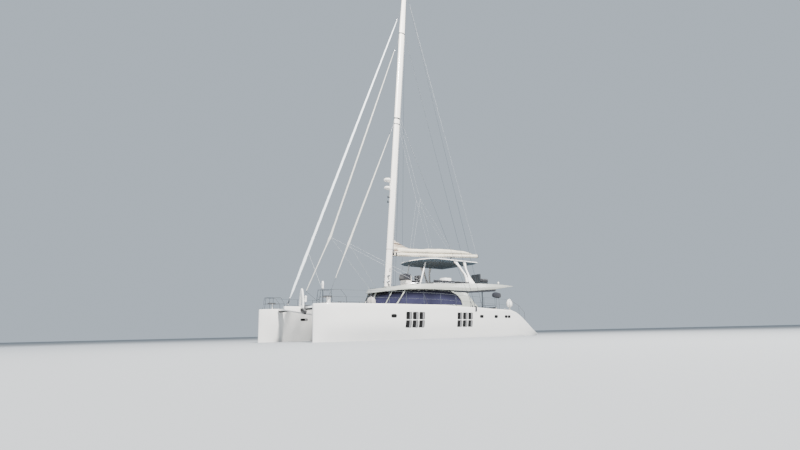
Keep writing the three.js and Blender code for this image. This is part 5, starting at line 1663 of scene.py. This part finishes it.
# %% An evenly divided pad
def lattice(form, low, high, rests, step, corner):
    """Adds a pad. rests is (axis, end) of the side it lies on. Returns its resting verts and its seam."""
    low, high = Vector(low), Vector(high)
    size = high - low
    counts = [max(3, round(s / step)) for s in size]
    core_low, core_high = [v + corner for v in low], [v - corner for v in high]
    verts = {}
    for i in range(counts[0] + 1):
        for j in range(counts[1] + 1):
            for k in range(counts[2] + 1):
                key = (i, j, k)
                if not any(key[a] in (0, counts[a]) for a in range(3)):
                    continue
                point = Vector(low[a] + size[a] * key[a] / counts[a] for a in range(3))
                core = Vector(min(max(point[a], core_low[a]), core_high[a]) for a in range(3))
                away = point - core
                if away.length > corner:
                    point = core + away.normalized() * corner
                verts[key] = form.bm.verts.new(point)
    for axis in range(3):
        b, c = [a for a in range(3) if a != axis]
        for end in (0, counts[axis]):
            for p in range(counts[b]):
                for q in range(counts[c]):
                    ring = []
                    for dp, dq in ((0, 0), (1, 0), (1, 1), (0, 1)):
                        key = [0, 0, 0]
                        key[axis], key[b], key[c] = end, p + dp, q + dq
                        ring.append(verts[tuple(key)])
                    form.bm.faces.new(ring)
    axis, end = rests
    b, c = [a for a in range(3) if a != axis]
    floor_index, crown_index = (0, counts[axis]) if end == 0 else (counts[axis], 0)
    border = ([(p, 0) for p in range(counts[b])] + [(counts[b], q) for q in range(counts[c])]
              + [(p, counts[c]) for p in range(counts[b], 0, -1)] + [(0, q) for q in range(counts[c], 0, -1)])

    def at(level, p, q):
        key = [0, 0, 0]
        key[axis], key[b], key[c] = level, p, q
        return verts[tuple(key)]

    resting = [at(floor_index, p, q) for p in range(counts[b] + 1) for q in range(counts[c] + 1)]
    return resting, [at(crown_index, p, q) for p, q in border]


def swell(piece, pinned, cap):
    """Blows the pads up with Cloth, and holds every point within cap of where it was."""
    group = piece.vertex_groups.new(name="pinned")
    group.add(pinned, 1.0, "REPLACE")
    cloth = piece.modifiers.new("stuffing", "CLOTH")
    cloth.settings.quality = 5
    cloth.settings.use_pressure = True
    cloth.settings.uniform_pressure_force = 4.0
    cloth.settings.tension_stiffness = 22
    cloth.settings.vertex_group_mass = "pinned"
    cloth.settings.effector_weights.gravity = 0.0
    cloth.collision_settings.use_collision = False
    cloth.point_cache.frame_start, cloth.point_cache.frame_end = 1, 20
    for step in range(1, 21):
        bpy.context.scene.frame_set(step)
    graph = bpy.context.evaluated_depsgraph_get()
    swollen = [v.co.copy() for v in piece.evaluated_get(graph).data.vertices]
    piece.modifiers.remove(cloth)
    bpy.context.scene.frame_set(1)
    for vert, new in zip(piece.data.vertices, swollen):
        move = new - vert.co
        vert.co += move * (min(1.0, cap / move.length) if move.length > 1e-9 else 1.0)
    piece.vertex_groups.clear()


trial = Form()
resting, seam = lattice(trial, (0, 0, 0), (0.6, 0.6, 0.14), (2, 0), 0.06, 0.035)
print("a pad has", len(trial.bm.verts), "points,", len(resting), "on its base,", len(seam), "on its seam")
trial.bm.free()

# %% [markdown]
# Sewn channels pull the cloth in along lines, and a cord of piping covers the seam where the top meets
# the sides. Both are added after the swelling, because the piping has to follow the shape it produced.

# %% From boxes to finished cushions
def cushions(name, pads, finish, step=0.06, cap=0.022, channels=None):
    """Each pad is (low, high, resting side). channels is (axis, spacing, depth) for sewn lines."""
    form, pinned, seams = Form(), [], []
    for low, high, rests in pads:
        small_low = [v + (0.0 if rests == (a, 0) else 0.012) for a, v in enumerate(low)]
        small_high = [v - (0.0 if rests == (a, 1) else 0.012) for a, v in enumerate(high)]
        thin = min(h - l for l, h in zip(small_low, small_high))
        resting, seam = lattice(form, small_low, small_high, rests, step, min(0.035, 0.42 * thin))
        pinned += resting
        seams.append(seam)
    form.bm.verts.index_update()
    pinned = [v.index for v in pinned]
    seams = [[v.index for v in seam] for seam in seams]
    bmesh.ops.recalc_face_normals(form.bm, faces=form.bm.faces[:])
    piece = bpy.data.objects.new(name, bpy.data.meshes.new(name))
    form.bm.to_mesh(piece.data)
    form.bm.free()
    bpy.context.scene.collection.objects.link(piece)
    piece.data.materials.append(getattr(finish, "material", finish))
    swell(piece, pinned, cap)
    smooth = piece.modifiers.new("smooth", "SUBSURF")
    smooth.levels = smooth.render_levels = 1
    piece = evaluated(piece, name)
    if channels:
        axis, spacing, depth = channels
        crowns = {}
        for vert in piece.data.vertices:
            for low, high, rests in pads:
                if all(l - 0.03 <= c <= h + 0.03 for l, c, h in zip(low, vert.co, high)):
                    across = high[axis] - low[axis]
                    lines = max(1, round(across / spacing))
                    place = (vert.co[axis] - low[axis]) / across * lines
                    gap = abs(place - round(place)) * across / lines
                    if 0 < round(place) < lines:
                        toward = 1 if rests[1] == 0 else -1
                        height = toward * (vert.co[rests[0]] - (low, high)[rests[1]][rests[0]])
                        share = max(0.0, height / (high[rests[0]] - low[rests[0]]) - 0.35) / 0.65
                        dip = toward * depth * share * math.exp(-(gap / 0.02) ** 2)
                        crowns[vert.index] = (rests[0], -dip)
        for index, (up, move) in crowns.items():
            piece.data.vertices[index].co[up] += move
    for polygon in piece.data.polygons:
        polygon.use_smooth = True
    settled(piece)
    piping = Form()
    for seam in seams:
        piping.tube([piece.data.vertices[i].co.copy() for i in seam], 0.0055, 6, closed=True)
    piping.place(name + "_piping", piping_grey, "cushion", sharp=80)
    print(name, len(pads), "pads,", len(piece.data.polygons), "faces")
    return piece


piping_grey = Finish("piping_grey", (0.42, 0.43, 0.44), 0.7)
piping_grey.tint(piping_grey.noise(60, 3.0), 0.9, 1.1)
DOWN = (2, 0)


def row(axis, start, end, count, low, high, rests, gap=0.008):
    """Boxes side by side along an axis, between two corners given for the other axes."""
    pads = []
    for i in range(count):
        a, b = list(low), list(high)
        a[axis] = start + (end - start) * i / count + gap / 2
        b[axis] = start + (end - start) * (i + 1) / count - gap / 2
        pads.append((tuple(a), tuple(b), rests))
    return pads


def seat_base(name, finish, node, *blocks):
    """A moulded base of plain blocks, which takes the place of the frame's own seat."""
    base = Form()
    for low, high in blocks:
        base.block(low, high)
    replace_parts(base.place(name, finish, "gelcoat", bevel=0.012), node)


print("three pads in a row:", row(0, 0.0, 1.8, 3, (0, 0, 0), (0, 0.6, 0.14), DOWN)[0][:2])

# %% [markdown]
# ### On the flybridge
#
# The double seat at the helm, the sofa along the port coaming, the sunpad and two covered loungers on the
# aft deck. Their moulded bases are gelcoat, and the pads on them are dark, as the picture shows.

# %% Flybridge cushions
FLY_SOLE = 3.8503
seat_base("helm_seat_base", console_grey, "helm_seat", ((-0.9, 0.06, FLY_SOLE), (-0.35, 0.74, 4.36)),
          ((-0.95, 0.06, FLY_SOLE), (-0.88, 0.74, 4.9)))
cushions("helm_seat_pads", row(1, 0.06, 0.74, 2, (-0.87, 0, 4.36), (-0.345, 0, 4.5), DOWN)
         + row(1, 0.06, 0.74, 2, (-0.88, 0, 4.51), (-0.8, 0, 4.95), (0, 0)),
         cushion_dark, channels=(1, 0.16, 0.012))
seat_base("flybridge_sofa_base", hull_white, "flybridge_sofa",
          ((-4.2, 2.36, FLY_SOLE), (-2.3, 2.89, 4.04)), ((-1.42, 2.36, FLY_SOLE), (-0.2, 2.89, 4.04)),
          ((-4.2, 2.9, FLY_SOLE), (-0.2, 2.97, 4.12)))
cushions("flybridge_sofa_pads", row(0, -4.2, -2.3, 3, (0, 2.355, 4.04), (0, 2.885, 4.18), DOWN)
         + row(0, -1.42, -0.2, 2, (0, 2.355, 4.04), (0, 2.885, 4.18), DOWN)
         + row(0, -4.2, -0.2, 6, (0, 2.87, 4.14), (0, 2.98, 4.36), DOWN),
         cushion_dark, step=0.055, channels=(0, 0.2, 0.01))
seat_base("flybridge_sunpad_base", hull_white, "flybridge_sunpad",
          ((-5.98, -2.08, FLY_SOLE), (-4.32, 1.28, 4.11)))
cushions("flybridge_sunpad_pads", row(1, -2.1, 1.3, 4, (-6.0, 0, 4.11), (-4.3, 0, 4.26), DOWN),
         cushion_dark, step=0.07, channels=(1, 0.22, 0.014))
for end, y0, y1 in (("port", 1.35, 2.35), ("starboard", -2.35, -1.35)):
    seat_base(f"lounger_base_{end}", powder_coat, f"aft_lounger_{end}",
              ((-7.28, y0 + 0.04, 4.265), (-6.24, y1 - 0.04, 4.5)),
              ((-6.28, y0 + 0.04, 4.265), (-6.21, y1 - 0.04, 5.14)))
    cushions(f"lounger_pads_{end}", row(1, y0, y1, 2, (-7.32, 0, 4.5), (-6.44, 0, 4.8), DOWN)
             + row(1, y0, y1, 2, (-6.42, 0, 4.5), (-6.28, 0, 5.2), (0, 1)),
             cushion_dark, step=0.065, channels=(1, 0.2, 0.012))

# %% [markdown]
# ### In the cockpit and the saloon
#
# These are made in the same way, with paler covers inside, where the sun doesn't bleach them.

# %% Cockpit and saloon cushions
COCKPIT_SOLE = 1.6003
seat_base("cockpit_sofa_base", hull_white, "cockpit_sofa",
          ((-8.1, -2.28, COCKPIT_SOLE), (-7.38, 2.28, 1.9)), ((-8.25, -2.3, COCKPIT_SOLE), (-8.19, 2.3, 2.4)))
cushions("cockpit_sofa_pads", row(1, -2.3, 2.3, 6, (-8.06, 0, 1.9), (-7.35, 0, 2.05), DOWN)
         + row(1, -2.3, 2.3, 6, (-8.19, 0, 2.06), (-8.05, 0, 2.45), (0, 0)),
         cushion_dark, step=0.065, channels=(1, 0.19, 0.012))
seat_base("saloon_settee_base", teak, "saloon_settee",
          ((-1.88, 1.47, COCKPIT_SOLE), (1.18, 2.2, 1.88)), ((-1.9, 2.27, COCKPIT_SOLE), (1.2, 2.35, 2.46)),
          ((0.52, 0.32, COCKPIT_SOLE), (1.18, 1.47, 1.88)))
cushions("saloon_settee_pads", row(0, -1.9, 1.2, 4, (0, 1.45, 1.88), (0, 2.13, 2.05), DOWN)
         + row(0, -1.9, 1.2, 4, (0, 2.13, 2.06), (0, 2.27, 2.5), (1, 1))
         + row(1, 0.3, 1.44, 2, (0.5, 0, 1.88), (1.2, 0, 2.05), DOWN),
         cushion_pale, step=0.07, channels=(0, 0.26, 0.01))

# %% [markdown]
# ## Deck gear
#
# The last pieces are small: stanchion feet, an anchor, seats on the bows, furled awnings, lamps and
# aerials. They make the size of the boat readable.

# %% A tree that sets one shape on many points
def fitted_tree():
    tree, given, out = new_tree("fitting_on_points", [
        ("Points", "NodeSocketGeometry"), ("Base Radius", "NodeSocketFloat"),
        ("Base Height", "NodeSocketFloat"), ("Socket Radius", "NodeSocketFloat"),
        ("Socket Height", "NodeSocketFloat"), ("Finish", "NodeSocketMaterial")])

    def disc(radius, height):
        half = node_in(tree, "ShaderNodeMath", {"operation": "MULTIPLY"}, i0=height, i1=0.5).outputs[0]
        lift = node_in(tree, "ShaderNodeCombineXYZ", Z=half).outputs[0]
        solid = node_in(tree, "GeometryNodeMeshCylinder", Vertices=14, Radius=radius, Depth=height)
        placed = node_in(tree, "GeometryNodeTransform", Geometry=solid.outputs["Mesh"], Translation=lift)
        return placed.outputs[0]

    both_discs = tree.nodes.new("GeometryNodeJoinGeometry")
    tree.links.new(disc(given["Base Radius"], given["Base Height"]), both_discs.inputs[0])
    tree.links.new(disc(given["Socket Radius"], given["Socket Height"]), both_discs.inputs[0])
    points = node_in(tree, "GeometryNodeMeshToPoints", Mesh=given["Points"])
    copies = node_in(tree, "GeometryNodeInstanceOnPoints", Points=points.outputs[0],
                     Instance=both_discs.outputs[0])
    real = node_in(tree, "GeometryNodeRealizeInstances", Geometry=copies.outputs[0])
    coated = node_in(tree, "GeometryNodeSetMaterial", Geometry=real.outputs[0], Material=given["Finish"])
    tree.links.new(coated.outputs[0], out["Geometry"])
    return tree


STANCHIONS = [(7.05, 4.66), (5.65, 4.78), (4.25, 4.85), (2.65, 4.87), (1.05, 4.88), (-0.5, 4.88),
              (-2.05, 4.86), (-3.65, 4.83), (-5.2, 4.79)]
feet = [Vector((x, side * y, deck_at(x) + 0.001)) for x, y in STANCHIONS for side in (1, -1)]
fitting = fitted_tree()
stanchion_feet = grown("stanchion_feet", fitting, steel, points=feet, Base_Radius=0.05, Base_Height=0.008,
                       Socket_Radius=0.022, Socket_Height=0.07)
settled(stanchion_feet)
cars = [Vector((mast_x(z) - mast_half(z)[0] - 0.03, 0, z)) for z in (7.0 + 0.085 * i for i in range(10))]
slides = grown("mast_slides", fitting, powder_coat, points=cars, Base_Radius=0.03, Base_Height=0.05,
               Socket_Radius=0.014, Socket_Height=0.08)
settled(slides)
print("points:", len(feet), "and", len(cars))

# %% [markdown]
# ### At the bows
#
# The anchor hangs on its roller in front of the crossbeam, and a windlass stands behind the net.

# %% Anchor, roller and windlass
anchor = Form()
ANCHOR_Y = 0.92
shank = [(9.54, 2.36), (9.6, 2.33), (9.62, 2.2), (9.6, 2.0), (9.58, 1.82)]
anchor.tube([(x, ANCHOR_Y, z) for x, z in shank], [0.03, 0.036, 0.045, 0.045, 0.04], 8)
for side in (1, -1):
    fluke = [[(9.53, 0, 1.76), (9.53, 0.04, 1.87), (9.68, 0.04, 1.86), (9.68, 0, 1.76)],
             [(9.6, 0.22, 1.9), (9.59, 0.24, 1.98), (9.76, 0.22, 1.97), (9.77, 0.19, 1.89)],
             [(9.84, 0.08, 2.14), (9.83, 0.1, 2.17), (9.88, 0.08, 2.17), (9.89, 0.06, 2.14)]]
    anchor.loft([[(x, ANCHOR_Y + side * y, z) for x, y, z in ring] for ring in fluke])
galvanised = Finish("galvanised", (0.07, 0.073, 0.076), 0.6, metallic=0.5)
galvanised.tint(galvanised.noise(25, 4.0), 0.7, 1.3).gloss(galvanised.noise(9, 3.0), 0.45, 0.75)
anchor.place("anchor", galvanised, "dark_metal", sharp=25, bevel=0.004)
roller = Form()
for side in (1, -1):
    roller.block((9.26, ANCHOR_Y + side * 0.09 - 0.008, 2.276), (9.6, ANCHOR_Y + side * 0.09 + 0.008, 2.36))
roller.turned([(0.02, -0.09), (0.04, -0.07), (0.028, 0), (0.04, 0.07), (0.02, 0.09)],
              (9.565, ANCHOR_Y, 2.3), (0, 1, 0), 18)
roller.place("anchor_roller", steel, "stainless", bevel=0.003)
windlass = Form()
windlass.turned([(0.16, 0), (0.16, 0.05), (0.1, 0.08), (0.08, 0.14), (0.12, 0.18), (0.12, 0.21), (0.07, 0.24),
                 (0.09, 0.3), (0.02, 0.32)], (6.65, 0.0, DECK_TOP), sides=24)
drum_piece = windlass.place("windlass", steel, "stainless")
print("windlass:", len(drum_piece.data.polygons), "faces")

# %% [markdown]
# A teak seat fits in each bow rail. A tall lamp on a thin post stands over the port rail, and a sailbag
# tied at the neck stands on the foredeck.

# %% Bow seats, lamp and sailbag
weathered_teak = Finish("weathered_teak", (0.04, 0.036, 0.034), 0.75)
weathered_teak.tint(weathered_teak.noise(14, 5.0), 0.6, 1.5).bump(weathered_teak.noise(60, 4.0), 0.0006, 0.4)
seats = Form()
seats.loft([framed(9.44, 9.92, 3.52, 3.93, 0.06, z) for z in (2.676, 2.76)])
seats.mirrored().place("bow_seats", weathered_teak, "joinery", bevel=0.004)
SEAT_X, SEAT_Y = 9.61, 3.73
seat_deck = deck_at(SEAT_X)
seat_height = 2.679 - seat_deck
pedestals = Form()
pedestals.turned([(0.16, 0), (0.16, 0.02), (0.12, 0.05), (0.11, 0.2), (0.15, seat_height)],
                 (SEAT_X, SEAT_Y, seat_deck), sides=24)
pedestals.turned([(0.07, 0), (0.07, 0.015), (0.025, 0.03), (0.025, 0.34), (0.06, seat_height)],
                 (SEAT_X, -SEAT_Y, seat_deck), sides=18)
pedestals.place("bow_seat_pedestals", hull_white, "gelcoat")
LAMP_X, LAMP_Y = 9.95, 3.6
lamp_deck = deck_at(LAMP_X)
post = Form()
post.turned([(0.05, lamp_deck - 0.01), (0.05, lamp_deck + 0.015), (0.016, lamp_deck + 0.03), (0.016, 3.2)],
            (LAMP_X, LAMP_Y, 0), sides=18)
post.place("bow_lamp_post", powder_coat, "dark_metal", sharp=40)
lamp = Form()
lamp.turned([(0.03, 3.19), (0.055, 3.21), (0.066, 3.25), (0.066, 3.3), (0.058, 3.31), (0.07, 3.33),
             (0.074, 3.45), (0.07, 3.56), (0.05, 3.63), (0.02, 3.66)], (LAMP_X, LAMP_Y, 0), sides=24)
lamp.place("bow_lamp", hull_white, "superstructure", sharp=40)

# Columns: height, radius. The neck is drawn in and tied
SACK = [(0.0, 0.18), (0.03, 0.22), (0.15, 0.26), (0.3, 0.285), (0.42, 0.29), (0.52, 0.27), (0.6, 0.21),
        (0.655, 0.12), (0.67, 0.05), (0.69, 0.045), (0.73, 0.065), (0.735, 0.055)]
bag_form = Form()
rings = []
for up, size in SACK:
    ring = []
    for a in circle(28):
        folds_in = (0.03 + 0.11 * max(0, up - 0.35)) * math.sin(7 * a + 5 * up)
        crease = 1 + folds_in + 0.03 * math.sin(3 * a - 4 * up)
        wide = size * crease
        lean = 0.06 * up
        ring.append((4.6 + lean + wide * math.cos(a), 1.5 + wide * math.sin(a), DECK_TOP + 0.006 + up))
    rings.append(ring)
bag_form.loft(rings)
sail_bag = bag_form.place("sail_bag", bag_grey, "cushion", sharp=80)
print("sailbag:", len(sail_bag.data.polygons), "faces")

# %% [markdown]
# ### Sheets of the headsails
#
# A line runs from the corner of each furled sail back to the deck, and a halyard is made fast at the
# port rail. A black line ties the foot of the middle sail down to the bowsprit. They are tight, so they
# are straight.

# %% Sheets and the spare halyard
lines = Form()
for name, z, lead_x in (("solent", 7.3, 1.3), ("staysail", 7.0, 0.6)):
    for side in (1, -1):
        lead = (lead_x, side * 3.0, roof_at(lead_x) + 0.02)
        lines.tube(straight(stay_at(name, z), lead, 12), 0.007, 6)
lines.tube(straight(stay_at("genoa", 6.07), (9.95, 3.58, 3.14), 12), 0.006, 6)
lines.place("headsail_sheets", rope_grey, "sailcloth")
tack_line = Form()
tack_line.tube(straight((9.02, 0, 3.34), (7.66, 0.1, SPRIT_TOP + 0.02), 8), 0.009, 6)
tack_line.turned([(0.03, 0), (0.045, 0.01), (0.045, 0.04), (0.03, 0.05)],
                 (7.66, 0.1, SPRIT_TOP - 0.002), sides=14)
tack_line.place("solent_tack_line", black_rubber, "dark_metal")
print("the middle stay at 7 m:", tuple(round(v, 2) for v in stay_at("solent", 7.0)))

# %% [markdown]
# ### Aft
#
# A dark bluish lining of painted shade closes the deck over the cockpit, with small lamps let into it.
# Aft of the cockpit stand a low rail and a row of locker lids, and a black strip along the crossbeam's
# lower front edge is painted shade under the beam.

# %% Cockpit lining of painted shade, stern rail, lockers and the crossbeam's shade strip
def fly_low(x):
    return along_table([(-9.26, 4.15), (-6.7, 3.81), (-3.7, 3.6), (2.0, 3.6)], x)


# Columns: x of the fore and the aft end, y of the starboard and the port edge
SHADE_LINING_PARTS = [(-3.68, -8.9, -2.33, 3.24), (-3.68, -6.12, -3.24, -2.345), (-7.36, -8.9, -3.24, -2.345)]
shade_soffit = Form()
for fore, aft, low_y, high_y in SHADE_LINING_PARTS:
    stations = [x for x in (fore, -6.7, aft) if aft <= x <= fore]
    section = [(low_y, 0.001), (high_y, 0.001), (high_y - 0.01, 0.014), (low_y + 0.01, 0.014)]
    shade_soffit.loft([[(x, y, fly_low(x) - drop) for y, drop in section] for x in stations])
# The cockpit's lining takes the same painted shade.
shade_soffit.place("cockpit_shade_lining", painted_shade_lining, "sail_cover", sharp=30)
spots = Form()
for x in (-4.6, -5.8, -7.9):
    for y in (-1.6, 0.4, 2.4):
        spots.turned([(0.05, 0), (0.05, 0.008), (0.03, 0.012)], (x, y, fly_low(x) - 0.013), (0, 0, -1), 16)
spots.place("cockpit_lamps", steel, "stainless")
transom = Form()
transom.tube([(-8.21, -2.2, 2.3), (-8.3, -2.2, 2.5), (-8.3, -2.1, 2.62), (-8.3, 2.1, 2.62), (-8.3, 2.2, 2.5),
              (-8.21, 2.2, 2.3)], 0.015, 8)
for y in (-1.05, 0.0, 1.05):
    transom.tube([(-8.25, y, 2.3), (-8.3, y, 2.5), (-8.3, y, 2.62)], 0.012, 8)
transom.place("transom_rail", steel, "stainless")
lids = Form()
for y0, y1 in ((-2.1, -0.75), (-0.65, 0.65), (0.75, 2.1)):
    rings = []
    for out, inset in ((-0.004, 0), (0.006, 0), (0.012, 0.008)):
        outline = rounded(y0 + inset, y1 - inset, 1.78 + inset, 2.3 - inset, 0.05)
        rings.append([(-8.25 - out, y, z) for y, z in outline])
    lids.loft(rings)
lids.place("transom_lockers", hull_white, "gelcoat")
# This black strip under the crossbeam's front edge is painted shade under the beam.
beam_shade = Form()
beam_shade_profile = [(9.3, 2.0595), (9.44, 2.0595), (9.5195, 2.13), (9.5185, 2.15), (9.529, 2.151),
                 (9.532, 2.123), (9.447, 2.048), (9.3, 2.048)]
for side in (1, -1):
    beam_shade.loft([[(x, side * y, z) for x, z in beam_shade_profile] for y in (0.155, 2.975)])
strip = beam_shade.place("crossbeam_shade_strip", black_rubber, "dark_metal", sharp=30)
print("crossbeam strip:", len(strip.data.polygons), "faces")

# %% [markdown]
# Rolled navy awnings hang under the edge of the roof; they are drawn thick and dark, so that they also
# stand for the painted shade under its overhang. A life ring in its canvas cover stands on the port quarter.

# %% Awnings, which carry painted shade, and the covered life ring
awning_shade_roll = Form()
rings = []
for i in range(50):
    x = -1.9 - 5.15 * i / 49
    size = 0.085 * (1 + 0.07 * math.sin(9 * x)) * (0.3 if i in (0, 49) else 1)
    y = 3.32 - 0.1 * max(0, (-6.7 - x) / 1.8)
    z = fly_low(x) - 0.006 - 0.091
    rings.append([(x, y + 0.7 * size * math.cos(a), z + size * math.sin(a)) for a in circle(12)])
awning_shade_roll.loft(rings)
rolled_awnings_and_shade = awning_shade_roll.mirrored().place("furled_awnings_and_shade", canvas_navy, "cushion", sharp=80)

covered = Form()
rings = []
for t in (0, 0.06, 0.2, 0.4, 0.6, 0.8, 0.94, 1):
    size = math.sin(math.pi * (0.1 + 0.8 * t)) ** 0.35
    rings.append([(-5.7 + 0.48 * (t - 0.5) * 2, 4.42 + 0.12 * size * math.cos(a),
                   3.22 + 0.24 * size * math.sin(a) + 0.012 * math.sin(7 * t + 2 * a)) for a in circle(16)])
covered.loft(rings)
horseshoe = covered.place("covered_life_ring", canvas_navy, "cushion", sharp=80)
rail_clips = Form()
for x in (-5.95, -5.45):
    rail_clips.tube([(x, 4.42, deck_at(x) - 0.01), (x, 4.44, 3.05)], 0.012, 8)
rail_clips.place("life_ring_stand", steel, "stainless")
print("awnings:", len(rolled_awnings_and_shade.data.polygons), "faces")

# %% [markdown]
# A white dome for the satellite aerial stands on the upper step and a ball aerial on the aft deck. The
# gate in the hull's side shows by its edges, with a dark plate of painted shade in its slot. Two small lamps
# mark the bow and the stern.

# %% Aerials, gate and lamps
dome = Form()
base = TREADS[0][1]
dome.turned([(0.11, base - 0.005), (0.11, base + 0.02), (0.05, base + 0.05), (0.05, 2.32), (0.19, 2.36),
             (0.235, 2.42), (0.245, 2.6), (0.22, 2.76), (0.16, 2.88), (0.08, 2.96), (0.02, 2.985)],
            (-7.5, 4.25, 0), sides=28)
dome.place("satellite_dome", hull_white, "superstructure", sharp=50)
aerial = Form()
aerial.turned([(0.04, 0), (0.02, 0.02), (0.02, 0.16), (0.06, 0.19), (0.08, 0.24), (0.075, 0.3), (0.04, 0.35)],
              (-8.44, 2.5, roof_at(-8.44) - 0.004), sides=18)
aerial.place("aerial_ball", hull_white, "superstructure", sharp=60)

GATE = (-2.67, -2.5)
gate = Form()
for x in GATE:
    edge = [(x, topside_at(x, z) + out, z) for z, out in ((1.86, 0.004), (2.1, 0.004), (2.26, 0.002))]
    gate.tube(edge, 0.009, 6)
gate.mirrored().place("gate_edges", black_rubber, "dark_metal")
# The dark plate between the gate's edges is painted shade of its slot.
slot = Form()
rings = []
for z in (1.87, 1.97, 2.07, 2.17, 2.26):
    y = topside_at(sum(GATE) / 2, z)
    rings.append([(GATE[0], y - 0.02, z), (GATE[1], y - 0.02, z), (GATE[1], y + 0.005, z),
                  (GATE[0], y + 0.005, z)])
slot.loft(rings)
slot.mirrored().place("gate_slot_shade", hull_tint, "tinted_glass")
lamps_form = Form()
for x, y, z in ((10.2, 3.5, 2.5), (-9.2, 0.0, 4.2)):
    lamps_form.turned([(0.03, 0), (0.03, 0.05), (0.035, 0.06), (0.02, 0.09)], (x, y, z), sides=14)
lamps_form.place("navigation_lamps", powder_coat, "dark_metal")

# %% [markdown]
# ## Finishing
#
